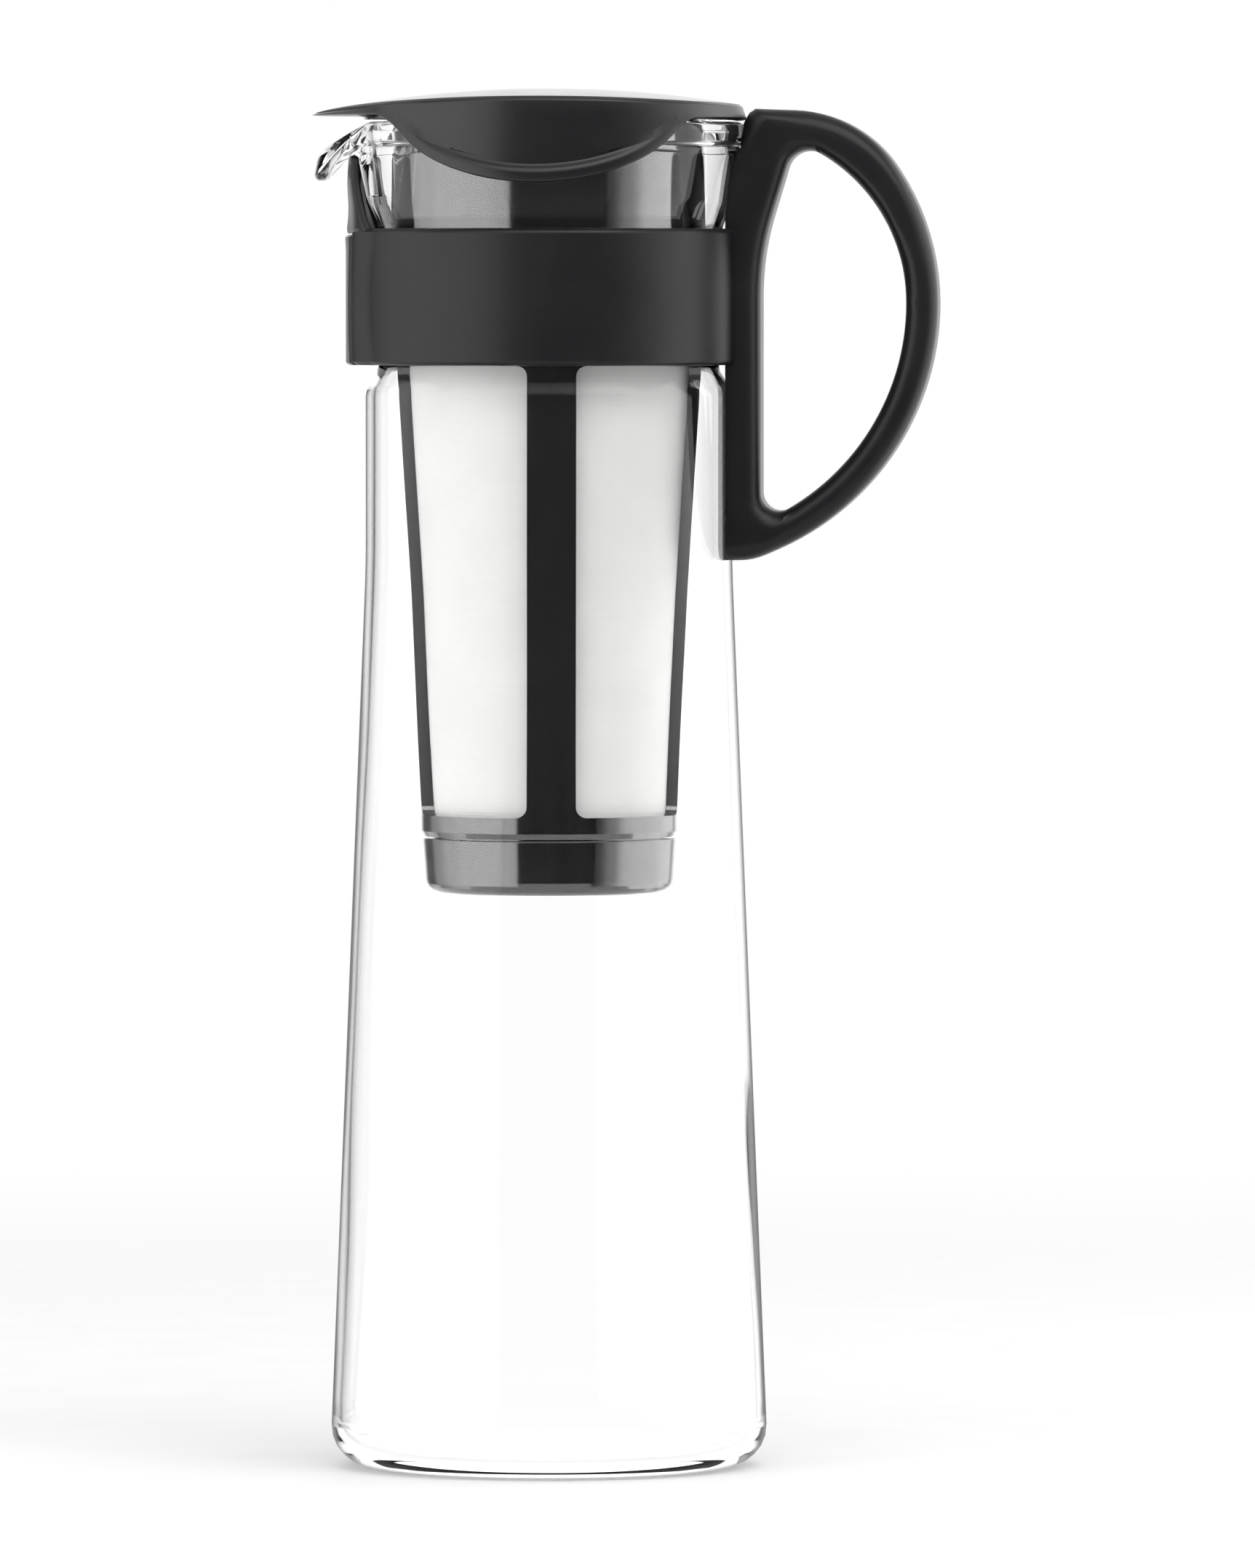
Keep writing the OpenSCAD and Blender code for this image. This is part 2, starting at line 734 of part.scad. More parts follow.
module strainer_frame() color([0.07, 0.07, 0.08]) {
    rotate([0, 0, strainer_turn]) difference() {
        rotate_extrude() polygon(rounded(concat(
            [[collar_in_r, flange_top_z, flange_fillet]],
            [[flange_r, flange_top_z, flange_fillet], [flange_r, flange_z, flange_fillet]],
            [[collar_r, flange_z, collar_fillet], [collar_r, flange_z - collar_h, 0]],
            basket_side(0),
            [[basket_low_r, frame_z + 2 * groove, 0], [basket_low_r - groove, frame_z, 0]],
            [[basket_low_r - rib_t, frame_z, 0]],
            [for (i = [2:-1:0]) basket_side(rib_t)[i]],
            [[collar_in_r, flange_z - collar_h, 0]])));
        for (i = [0:3]) rotate([0, 0, 90 * i]) window_space(0);
    }
}

// One mesh panel behind the window at a quarter turn, lapping the frame all round
module mesh_panel(quarter) {
    skin = rib_t + mesh_gap;
    back = skin + mesh_t;
    color([0.93, 0.93, 0.91]) rotate([0, 0, strainer_turn + 90 * quarter]) intersection() {
        rotate_extrude() polygon([
            [basket_low_r - back, window_z - mesh_lap],
            [basket_low_r - skin, window_z - mesh_lap],
            [basket_low_r - skin, window_z],
            [basket_mid_r - skin, basket_mid_z],
            [basket_top_r - skin, window_top_z],
            [basket_top_r - skin, window_top_z + mesh_lap],
            [basket_top_r - back, window_top_z + mesh_lap],
            [basket_top_r - back, window_top_z],
            [basket_mid_r - back, basket_mid_z],
            [basket_low_r - back, window_z]]);
        translate([rib_w / 2 - mesh_lap, rib_w / 2 - mesh_lap, window_z - 2 * mesh_lap])
            cube([collar_r, collar_r, window_top_z - window_z + 4 * mesh_lap]);
    }
}
module mesh_rear_right() mesh_panel(0);
module mesh_rear_left() mesh_panel(1);
module mesh_front_left() mesh_panel(2);
module mesh_front_right() mesh_panel(3);

cap_edge_fillet = 0.4;
cap_floor_fillet = 2;

module strainer_base_cap() color([0.07, 0.07, 0.08]) {
    part_z = frame_z - rest_gap;
    cap_r = basket_low_r - cap_step;
    cap_z = part_z - cap_h;
    rotate_extrude() polygon(rounded([
        [0, cap_z, 0],
        [cap_r - cap_taper, cap_z, cap_fillet, wide_fillet_steps],
        [cap_r, part_z, cap_edge_fillet],
        [spigot_r, part_z, 0],
        [spigot_r, frame_z + spigot_h, cap_edge_fillet],
        [spigot_r - spigot_t, frame_z + spigot_h, cap_edge_fillet],
        [spigot_r - spigot_t, cap_z + cap_floor_t, cap_floor_fillet],
        [0, cap_z + cap_floor_t, 0]]));
}

// The lid
tab_in_r = bead_r + tab_gap;
tab_r = tab_in_r + tab_t;
lid_in_r = lid_r - lid_rim_t;
lid_edge_fillet = 0.4;

// The crown falls to the bill's tip along X
crown_fall = lid_top_z - bill_z - bill_tip_t;
crown_long_r = (bill_reach * bill_reach + crown_fall * crown_fall) / (2 * crown_fall);
crown_steps = 8;
crown_facets = 960;
function crown_sag(x) = crown_long_r - sqrt(crown_long_r * crown_long_r - x * x);

// All that lies under the lid's crown, moved down by depth
module under_crown(depth) {
    half = bill_reach + past;
    translate([0, 0, lid_top_z - depth - crown_cross_r]) rotate([0, 90, 0])
        rotate_extrude($fn = crown_facets) polygon(concat(
            [[0, half], [0, -half]],
            [for (i = [-crown_steps:crown_steps])
                let (x = half * i / crown_steps)
                [crown_cross_r - crown_sag(x), x]]));
}

// Outline of the lid from above, with its bill
module lid_plan() {
    tip_x = bill_reach - bill_tip_r;
    lean = acos((lid_r - bill_tip_r) / tip_x);
    circle(lid_r - rim_slope);
    translate([-tip_x, 0]) circle(bill_tip_r);
    polygon([
        (lid_r - rim_slope) * [-cos(lean), sin(lean)],
        [-tip_x, 0] + bill_tip_r * [-cos(lean), sin(lean)],
        [-tip_x, 0] + bill_tip_r * [-cos(lean), -sin(lean)],
        (lid_r - rim_slope) * [-cos(lean), -sin(lean)]]);
}

// Rim of the lid, from the front of the side tabs round the back
module lid_rim() {
    intersection() {
        rotate_extrude() polygon(rounded([
            [lid_in_r - past, flange_z, 0],
            [lid_r, flange_z, lid_edge_fillet],
            [lid_r - rim_slope, lid_top_z, 0],
            [lid_in_r - past, lid_top_z, 0]]));
        translate([rim_short - lid_r, -lid_r - past, flange_z - past])
            cube([2 * lid_r, 2 * (lid_r + past), lid_top_z - flange_z + 2 * past]);
    }
}

// One half of a side tab's edge: its bow, then its run out along the rim
tab_z = rim_z - tab_drop;
tab_steps = 12;
tab_tail_steps = 6;
tab_bow_a = 70;
tab_roundness = 1.2;
tab_bow_h = tab_drop + rest_gap;
function tab_bow(a) = [tab_half * sin(a), flange_z - tab_bow_h * pow(cos(a), tab_roundness)];
tab_bow_end = tab_bow(tab_bow_a);
tab_bow_steepness = tab_roundness * pow(cos(tab_bow_a), tab_roundness - 1) * tan(tab_bow_a);
tab_bow_slope = tab_bow_steepness * tab_bow_h / tab_half;
tab_tail_turn = [tab_bow_end[0] + (bill_z - tab_bow_end[1]) / tab_bow_slope, bill_z];
tab_tail_end = [tab_half + tab_tail, bill_z];
function tab_run(t) = mix(mix(tab_bow_end, tab_tail_turn, t), mix(tab_tail_turn, tab_tail_end, t), t);
tab_edge = concat(
    [for (i = [0:tab_steps]) tab_bow(tab_bow_a * i / tab_steps)],
    [for (i = [1:tab_tail_steps]) tab_run(i / tab_tail_steps)]);

// Side tabs that hang over the rim bead for the fingers to lift
tab_flare_fillet = 1.5;
module lid_tabs() {
    intersection() {
        rotate_extrude() polygon(rounded([
            [lid_in_r - past, flange_z, 0],
            [tab_in_r, flange_z, 0],
            [tab_in_r, tab_z + tab_flare_h, 0],
            [tab_in_r + tab_flare, tab_z - past, 0],
            [tab_r + tab_flare, tab_z - past, 0],
            [tab_r, tab_z + tab_flare_h, tab_flare_fillet],
            [tab_r, lid_top_z, 0],
            [lid_in_r - past, lid_top_z, 0]]));
        across_y(4 * tab_r) polygon(concat(
            [for (i = [len(tab_edge) - 1:-1:1]) [-tab_edge[i][0], tab_edge[i][1]]],
            tab_edge,
            [[tab_tail_end[0], lid_top_z + past], [-tab_tail_end[0], lid_top_z + past]]));
    }
}

plug_fillet = 0.5;

module lid_plug() {
    plug_r = collar_in_r - plug_gap;
    foot_z = flange_top_z - plug_h;
    intersection() {
        rotate_extrude() polygon(rounded([
            [plug_r - plug_t, foot_z, plug_fillet],
            [plug_r, foot_z, plug_fillet],
            [plug_r, lid_top_z, 0],
            [plug_r - plug_t, lid_top_z, 0]]));
        under_crown(lid_t / 2);
    }
}

module lid() color([0.14, 0.14, 0.15]) {
    seat_h = lid_under_z - flange_z + past;
    difference() {
        intersection() {
            union() {
                translate([0, 0, bill_z]) linear_extrude(lid_h) lid_plan();
                lid_rim();
                lid_tabs();
            }
            under_crown(0);
        }
        translate([0, 0, flange_z - past]) cylinder(h = seat_h, r = lid_in_r);
        intersection() {
            translate([0, 0, flange_z - past]) cylinder(h = lid_h + past, r = lid_in_r - ledge_w);
            under_crown(lid_t);
        }
    }
    lid_plug();
}

glass_body();
handle_band();
band_clasp();
strainer_frame();
mesh_front_left();
mesh_front_right();
mesh_rear_left();
mesh_rear_right();
strainer_base_cap();
lid();
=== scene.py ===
import math

import bpy
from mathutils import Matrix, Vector, noise


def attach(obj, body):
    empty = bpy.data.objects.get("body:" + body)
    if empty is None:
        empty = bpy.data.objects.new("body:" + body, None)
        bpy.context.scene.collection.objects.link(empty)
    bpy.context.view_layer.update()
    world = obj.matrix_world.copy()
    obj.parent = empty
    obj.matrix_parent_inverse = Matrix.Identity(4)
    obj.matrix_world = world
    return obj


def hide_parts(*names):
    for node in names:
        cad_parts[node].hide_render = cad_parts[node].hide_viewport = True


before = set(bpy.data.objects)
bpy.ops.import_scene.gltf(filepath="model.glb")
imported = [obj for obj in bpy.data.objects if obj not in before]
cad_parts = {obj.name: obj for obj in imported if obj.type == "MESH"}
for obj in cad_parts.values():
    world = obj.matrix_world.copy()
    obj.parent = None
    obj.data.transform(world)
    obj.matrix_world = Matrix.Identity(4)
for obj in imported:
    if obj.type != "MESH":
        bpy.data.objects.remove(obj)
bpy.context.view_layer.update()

# The object's sizes are in millimetres, as in the part's source, and become metres when a mesh is made
MM = 0.001

# Gaps between pieces, and the least step that keeps two faces apart
rest_gap = 0.3
band_gap = 0.3
clasp_gap = 0.25
tab_gap = 0.5
collar_gap = 0.5
plug_gap = 0.4
lid_handle_gap = 1.6
hair = 0.02

# Glass jug
rim_z = 292.6
base_r = 47.8
barrel_r = 39.9
waist_r = 36.8
waist_z = 240.0
waist_top_z = 266.5
shoulder_z = 233.8
taper_z = 196.0
neck_r = 39.8
neck_z = 275.5
lip_r = 41.6
wall = 2.0
wall_low = 2.2
floor_t = 3.6
punt_h = 1.6
punt_r = 30.0
floor_fillet = 7.0
heel_fillet = 8.5
taper_fillet = 300.0
shoulder_fillet = 5.0
waist_fillet = 4.0
flare_fillet = 5.0
neck_fillet = 12.0

# Rim bead
bead_r = 43.0
bead_h = 4.6
bead_w = 3.7
bead_foot = 0.6
bead_ease = 0.4
bead_blend = 7.0
bead_fillet = 1.0
bead_side_fillet = 2.0
throat_in = 0.5
throat_fillet = 5.0
bead_z = rim_z - bead_h
bead_in_r = bead_r - bead_w

# Spout
spout_reach = 51.3
spout_drop = 12.7
spout_lip_t = 3.0
spout_half_a = math.radians(27)
spout_root_drop = 2.4
spout_root_fillet = 2.2
spout_under_in = 1.5
spout_under_h = 3.6
spout_under_fillet = 2.5
spout_edge_fillet = 1.2
spout_hook_in = 1.0
spout_hook_h = 5.8
spout_crest_in = 1.5
spout_crest_drop = 0.9
spout_crest_fillet = 4.0
spout_tip_z = rim_z - spout_drop
spout_in_x = spout_reach - spout_lip_t

# Band
band_over = 0.2
band_rise = 2.9
band_proud = 2.3
band_t = 2.6
band_lip_h = 3.0
band_fillet = 1.2
split_w = 1.2
glass_flare = (neck_r - waist_r) / (neck_z - waist_top_z)
band_z = waist_z - band_over
band_top_z = waist_top_z + band_rise
band_r = barrel_r + band_proud
band_in_r = waist_r + band_gap
band_top_in_r = band_in_r + glass_flare * band_rise

# Collar tips
tip_h = 15.9
tip_t = 1.7
tip_w = 3.4
tip_root_half = 18.0
tip_flank_w = 1.4
tip_flank_share = 0.5
tip_lean = 1.8
tip_lean_share = 0.55
tip_sink = 1.0
tip_set = 0.2
tip_notch_fillet = 0.8
tip_back_fillet = 1.6
tip_flank_fillet = 30.0
tip_root_fillet = 3.0
tip_lean_fillet = 20.0
tip_edge_fillet = 0.6
notch_half = 9.6
tip_top_z = band_top_z + tip_h

# Band clasp, its seat and rails, and the raised flank beside it
clasp_t = 2.0
clasp_half = 13.0
clasp_scallop = 1.6
clasp_end = 1.6
clasp_drop = 1.3
clasp_edge_fillet = 0.8
ridge_h = 4.0
ridge_t = 0.15
seat_depth = 1.6
seat_half = 11.2
rail_foot_half = 5.8
rail_undercut = 1.5
shoulder_w = 8.0
shoulder_drop = 0.2
shoulder_sink = 0.8
shoulder_edge_fillet = 0.35
clasp_r = band_r + clasp_t
clasp_top_z = band_top_z - clasp_drop
seat_r = band_r - seat_depth
seat_top_z = clasp_top_z + clasp_gap
rail_head_half = rail_foot_half + rail_undercut

# Handle
handle_w = 20.0
handle_fillet = 4.0
bar_t = 6.6
bar_lean = 7.5
bar_lean_h = 25.0
bar_lean_fillet = 60.0
bar_slant = 1.65
slant_shares = (0.06, 0.4, 1)
finger_gap = 31.6
opening_foot_fillet = 4.0
opening_top_fillet = 5.0
arm_t = 6.9
grip_low_r = 51.6
grip_up_r = 37.5
grip_turn = math.radians(60)
out_turn = math.radians(66)
foot_z = 197.4
foot_fillet = 14.0
foot_rise = 8.0
foot_share = 0.6
crown_low_r = 53.0
crown_r = 27.5
crown_turn = math.radians(33)
crown_rise = 0.8
top_ease = 0.8
root_in = 1.0
notch_drop = 2.6
bar_x = barrel_r + bar_t
opening_x = bar_x + finger_gap
reach_x = opening_x + arm_t
root_x = waist_r - root_in
grip_z = (waist_z + waist_top_z) / 2
grip_out_r = grip_low_r + arm_t

# Steps along the handle's two outlines, which match point for point
foot_steps = 14
foot_fillet_steps = 4
arc_steps = 28
low_steps = 10
crown_steps = 14
top_steps = 16
lean_steps = 24

# Lid
lid_t = 1.5
lid_h = 7.3
lid_rim_t = 1.6
lid_top_fillet = 0.9
lid_foot_fillet = 0.55
crown_long_r = 246.4
crown_cross_r = 450.0
rim_slope = 0.7
flange_t = 1.3
ledge_w = 3.4
bill_t = 2.0
bill_rise = 1.4
bill_over = 8.3
bill_tip_r = 9.0
back_from_a = math.radians(14)
back_to_a = math.radians(50)
tab_t = 1.7
tab_half = 30.6
tab_tail = 5.6
tab_drop = 13.4
tab_bow_a = math.radians(70)
tab_roundness = 1.2
tab_crease_h = 3.3
tab_ridge_h = 2.1
collar_t = 2.0
plug_t = 1.6
plug_h = 7.0
plug_fillet = 0.5
lid_r = bead_r
lid_in_r = lid_r - lid_rim_t
lid_top_z = rim_z + lid_h
lid_foot_z = rim_z + rest_gap
flange_top_z = lid_foot_z + flange_t
lid_seat_z = flange_top_z + rest_gap
ledge_in_r = lid_in_r - ledge_w
bill_z = rim_z + bill_rise
bill_reach = bead_r + bill_over
tab_r = bead_r + tab_gap + tab_t
tab_bow_h = tab_drop + rest_gap
plug_r = waist_r - wall - collar_gap - collar_t - plug_gap
plug_foot_z = flange_top_z - plug_h


# Outlines and meshes
def clamped(value):
    """A value held between 0 and 1."""
    return min(1.0, max(0.0, value))


def rounding(fillet, within):
    """How far a rounded edge falls back at a depth within its fillet."""
    return fillet - math.sqrt(max(0.0, fillet ** 2 - max(0.0, within) ** 2))


def corner(before, point, after, radius, steps):
    """The corner at point, rounded to radius by an arc of some steps."""
    if radius == 0:
        return [point]
    u = (before - point).normalized()
    v = (after - point).normalized()
    half = math.acos(max(-1.0, min(1.0, u.dot(v)))) / 2
    centre = point + (u + v).normalized() * radius / math.sin(half)
    start = point + u * radius / math.tan(half) - centre
    turn = -math.copysign(math.pi - 2 * half, u.x * v.y - u.y * v.x)
    arc = []
    for i in range(steps + 1):
        c, s = math.cos(turn * i / steps), math.sin(turn * i / steps)
        arc.append(centre + Vector((start.x * c - start.y * s, start.x * s + start.y * c)))
    return arc


def rounded(corners, steps=6):
    """An open outline through corners given as (x, y, fillet radius)."""
    points = [Vector(c[:2]) for c in corners]
    line = [points[0]]
    for i in range(1, len(points) - 1):
        line += corner(points[i - 1], points[i], points[i + 1], corners[i][2], steps)
    return line + [points[-1]]


def level_crossings(line, z):
    """Where an outline of (x, z) points crosses a height."""
    found = []
    for a, b in zip(line, line[1:]):
        if (a.y - z) * (b.y - z) <= 0 and a.y != b.y:
            found.append(a.x + (b.x - a.x) * (z - a.y) / (b.y - a.y))
    return found


def stepped(points, count):
    """count + 1 points spread evenly along the pieces of a coarse line."""
    line = []
    for i in range(count + 1):
        t = (len(points) - 1) * i / count
        k = min(int(t), len(points) - 2)
        line.append(points[k].lerp(points[k + 1], t - k))
    return line


def smoothed(values, reach):
    """A closed list of values, each averaged with its neighbours."""
    count = len(values)
    offsets = range(-reach, reach + 1)
    weights = [1 + math.cos(math.pi * k / (reach + 1)) for k in offsets]
    total = sum(weights)
    smooth = []
    for i in range(count):
        smooth.append(sum(w * values[(i + k) % count] for w, k in zip(weights, offsets)) / total)
    return smooth


def ring_arc(r, y_from, y_to, steps):
    """Plan points on the front of a ring of radius r, between two distances from its middle."""
    ys = [y_from + (y_to - y_from) * i / steps for i in range(steps + 1)]
    return [(-math.sqrt(r * r - y * y), y) for y in ys]


def turned_faces(columns, rows):
    """Faces over columns of points set round an axis, with a single point at each end of the outline."""
    faces = []
    last = columns * rows
    for i in range(columns):
        j = (i + 1) % columns
        faces.append((last, j * rows, i * rows))
        faces.append((last + 1, i * rows + rows - 1, j * rows + rows - 1))
        for k in range(rows - 1):
            faces.append((i * rows + k, j * rows + k, j * rows + k + 1, i * rows + k + 1))
    return faces


def loft(rings, closed):
    """Points and faces of a skin over rings of points, closed round or capped at both ends."""
    points = [p for ring in rings for p in ring]
    n, m = len(rings), len(rings[0])
    faces = []
    for i in range(n if closed else n - 1):
        for k in range(m):
            a, b = i * m, (i + 1) % n * m
            j = (k + 1) % m
            faces.append((a + k, b + k, b + j, a + j))
    if not closed:
        faces.append(tuple(range(m - 1, -1, -1)))
        faces.append(tuple(range((n - 1) * m, n * m)))
    return points, faces


def prism(plan, low, high):
    """A plan outline raised from one height to another."""
    return loft([[(x, y, z) for x, y in plan] for z in (low, high)], False)


def joined(parts):
    """Several skins as the points and faces of one mesh."""
    points, faces = [], []
    for part_points, part_faces in parts:
        start = len(points)
        points += part_points
        faces += [tuple(start + k for k in face) for face in part_faces]
    return points, faces


def mesh_piece(name, points, faces, material, body, sharp_degrees):
    """A shaded mesh object from points in millimetres, riding on a body."""
    mesh = bpy.data.meshes.new(name)
    mesh.from_pydata([Vector(p) * MM for p in points], [], faces)
    mesh.validate()
    mesh.shade_smooth()
    mesh.set_sharp_from_angle(angle=math.radians(sharp_degrees))
    mesh.materials.append(material)
    piece = bpy.data.objects.new(name, mesh)
    bpy.context.scene.collection.objects.link(piece)
    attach(piece, body)
    return piece


# Nodes that several materials share
def new_material(name):
    """A material with its node tree and its main shader."""
    material = bpy.data.materials.new(name)
    material.use_nodes = True
    tree = material.node_tree
    return material, tree, tree.nodes["Principled BSDF"]


def set_inputs(made, values):
    """Plain values for a node's inputs, by name."""
    for key, value in values.items():
        made.inputs[key].default_value = value


def node(tree, kind, **inputs):
    """A new node with plain values on some of its inputs."""
    made = tree.nodes.new(kind)
    set_inputs(made, inputs)
    return made


def place(tree, kind):
    """Texture coordinates of one kind."""
    return tree.nodes.new("ShaderNodeTexCoord").outputs[kind]


def axis_of(tree, vector, axis):
    """One axis of a vector."""
    split = tree.nodes.new("ShaderNodeSeparateXYZ")
    tree.links.new(vector, split.inputs[0])
    return split.outputs[axis]


def grain(tree, scale, detail):
    """Noise over the object's own coordinates."""
    made = node(tree, "ShaderNodeTexNoise", Scale=scale, Detail=detail)
    tree.links.new(place(tree, "Object"), made.inputs["Vector"])
    return made.outputs["Fac"]


def grey(level):
    """A colour with the same level in all three parts."""
    return (level, level, level)


def ramp(tree, source, stops, interpolation="LINEAR"):
    """A colour ramp over a value, by stops of (position, colour)."""
    made = tree.nodes.new("ShaderNodeValToRGB")
    made.color_ramp.interpolation = interpolation
    elements = made.color_ramp.elements
    for position, _ in stops[1:-1]:
        elements.new(position)
    for element, (position, colour) in zip(elements, stops):
        element.position = position
        element.color = (*colour, 1)
    tree.links.new(source, made.inputs["Fac"])
    return made.outputs["Color"]


def mapped(tree, source, from_span, to_span, interpolation="LINEAR"):
    """A value mapped from one span to another."""
    made = tree.nodes.new("ShaderNodeMapRange")
    made.interpolation_type = interpolation
    set_inputs(made, dict(zip(("From Min", "From Max"), from_span)))
    set_inputs(made, dict(zip(("To Min", "To Max"), to_span)))
    tree.links.new(source, made.inputs["Value"])
    return made.outputs["Result"]


def combined(tree, operation, first, second):
    """Two values put together by a math operation."""
    made = tree.nodes.new("ShaderNodeMath")
    made.operation = operation
    tree.links.new(first, made.inputs[0])
    tree.links.new(second, made.inputs[1])
    return made.outputs[0]


def mixed(tree, share, first, second):
    """One shader that turns into another by a share."""
    made = tree.nodes.new("ShaderNodeMixShader")
    tree.links.new(share, made.inputs["Fac"])
    tree.links.new(first, made.inputs[1])
    tree.links.new(second, made.inputs[2])
    return made.outputs["Shader"]


def relief(tree, shader, height, strength, distance):
    """Fine relief, of a height in metres, on a shader's surface."""
    bump = node(tree, "ShaderNodeBump", Strength=strength, Distance=distance)
    tree.links.new(height, bump.inputs["Height"])
    tree.links.new(bump.outputs["Normal"], shader.inputs["Normal"])


# Materials
def matte_plastic(name, roughness, specular):
    """Moulded black plastic with a fine spark-eroded grain and faint cloudy wear."""
    material, tree, shader = new_material(name)
    clouds = grain(tree, 60, 4)
    colour = ramp(tree, clouds, ((0.35, (0.005, 0.005, 0.006)), (0.7, (0.008, 0.008, 0.009))))
    tree.links.new(colour, shader.inputs["Base Color"])
    tree.links.new(mapped(tree, clouds, (0, 1), roughness), shader.inputs["Roughness"])
    set_inputs(shader, {"Specular IOR Level": specular})
    relief(tree, shader, grain(tree, 2600, 2), 0.25, 0.00006)
    return material


def polished_crown(material, gain):
    """Lowers the roughness of a material where its surface faces up."""
    tree = material.node_tree
    rough = tree.nodes["Principled BSDF"].inputs["Roughness"]
    up = axis_of(tree, place(tree, "Normal"), "Z")
    share = mapped(tree, up, (0.85, 0.97), (1.0, gain))
    tree.links.new(combined(tree, "MULTIPLY", rough.links[0].from_socket, share), rough)


def gloss_plastic(name):
    """Polished black plastic with faint flow lines along the draw direction."""
    material, tree, shader = new_material(name)
    stretch = node(tree, "ShaderNodeMapping", Scale=(420, 420, 18))
    lines = node(tree, "ShaderNodeTexNoise", Scale=1.0, Detail=3.0)
    tree.links.new(place(tree, "Object"), stretch.inputs["Vector"])
    tree.links.new(stretch.outputs["Vector"], lines.inputs["Vector"])
    flow = lines.outputs["Fac"]
    colour = ramp(tree, flow, ((0.3, (0.008, 0.008, 0.009)), (0.75, (0.016, 0.016, 0.017))))
    tree.links.new(colour, shader.inputs["Base Color"])
    tree.links.new(mapped(tree, flow, (0, 1), (0.07, 0.16)), shader.inputs["Roughness"])
    set_inputs(shader, {"Specular IOR Level": 0.8})
    set_inputs(shader, {"Coat Weight": 0.7, "Coat IOR": 1.9, "Coat Roughness": 0.04})
    return material


def woven_mesh(name):
    """Fine white filter weave that lets a little light through."""
    material, tree, shader = new_material(name)
    threads = node(tree, "ShaderNodeTexWave", Scale=700.0, Distortion=0.4)
    threads.bands_direction = "Z"
    tree.links.new(place(tree, "Object"), threads.inputs["Vector"])
    clouds = grain(tree, 90, 3)
    colour = ramp(tree, clouds, ((0.3, (0.86, 0.86, 0.85)), (0.75, (0.9, 0.9, 0.89))))
    tree.links.new(colour, shader.inputs["Base Color"])
    tree.links.new(mapped(tree, clouds, (0, 1), (0.55, 0.75)), shader.inputs["Roughness"])
    set_inputs(shader, {"Specular IOR Level": 0.2, "Alpha": 0.93})
    relief(tree, shader, threads.outputs["Fac"], 0.3, 0.00008)
    return material


def clear_glass(name, ior, painted_edge_tint, painted_edge_mix):
    """Blown glass with a faint ripple, and painted shade where the wall is seen edge on.

    tint and graze set that painted shade as (start, end, level at the end), from face on at 0 to edge on at
    1: the level to which the clear colour falls, and the share of a painted dark diffuse that is mixed in.
    """
    material, tree, shader = new_material(name)
    edge = node(tree, "ShaderNodeLayerWeight", Blend=0.5).outputs["Facing"]
    start, end, level = painted_edge_tint
    # Painted shade: the glass's colour falls from clear towards the edges, by facing
    tree.links.new(ramp(tree, edge, ((start, grey(1)), (end, grey(level)))), shader.inputs["Base Color"])
    set_inputs(shader, {"Roughness": 0.0, "Transmission Weight": 1.0, "IOR": ior})
    set_inputs(shader, {"Specular Tint": (0.2, 0.2, 0.2, 1)})
    relief(tree, shader, grain(tree, 22, 2), 0.12, 0.0004)
    start, end, level = painted_edge_mix
    # Painted shade: a dark diffuse mixed in where the wall is seen edge on
    share = ramp(tree, edge, ((start, grey(0)), (end, grey(level))))
    dark = node(tree, "ShaderNodeBsdfDiffuse", Color=(0.03, 0.032, 0.032, 1))
    surface = mixed(tree, share, shader.outputs["BSDF"], dark.outputs["BSDF"])
    tree.links.new(surface, tree.nodes["Material Output"].inputs["Surface"])
    return material


band_plastic = matte_plastic("band_plastic", roughness=(0.32, 0.4), specular=0.24)
lid_plastic = matte_plastic("lid_plastic", roughness=(0.28, 0.36), specular=0.35)
polished_crown(lid_plastic, 0.6)
frame_plastic = gloss_plastic("frame_plastic")
filter_weave = woven_mesh("filter_weave")
# Painted shade at each glass's edges: how far its colour falls, and how much painted dark diffuse is mixed
# in
faint_painted_edge_shade = (0.9, 1.0, 0.9)
no_painted_edge_mix = (0.9, 1.0, 0.0)
outer_glass = clear_glass("outer_glass", 1.4, painted_edge_tint=(0.6, 0.86, 0.7), painted_edge_mix=(0.725, 0.89, 0.8))
inner_glass = clear_glass("inner_glass", 1.4, faint_painted_edge_shade, no_painted_edge_mix)
spout_glass = clear_glass("spout_glass", 1.2, painted_edge_tint=(0.72, 0.86, 0.35), painted_edge_mix=(0.88, 0.97, 0.8))
heel_glass = clear_glass("heel_glass", 1.1, painted_edge_tint=(0.65, 0.88, 0.8), painted_edge_mix=(0.76, 0.92, 0.6))
heel_inner_glass = clear_glass("heel_inner_glass", 1.1, faint_painted_edge_shade, no_painted_edge_mix)
floor_glass = clear_glass("floor_glass", 1.01, faint_painted_edge_shade, no_painted_edge_mix)
jug_glasses = (outer_glass, inner_glass, spout_glass, heel_glass, heel_inner_glass, floor_glass)


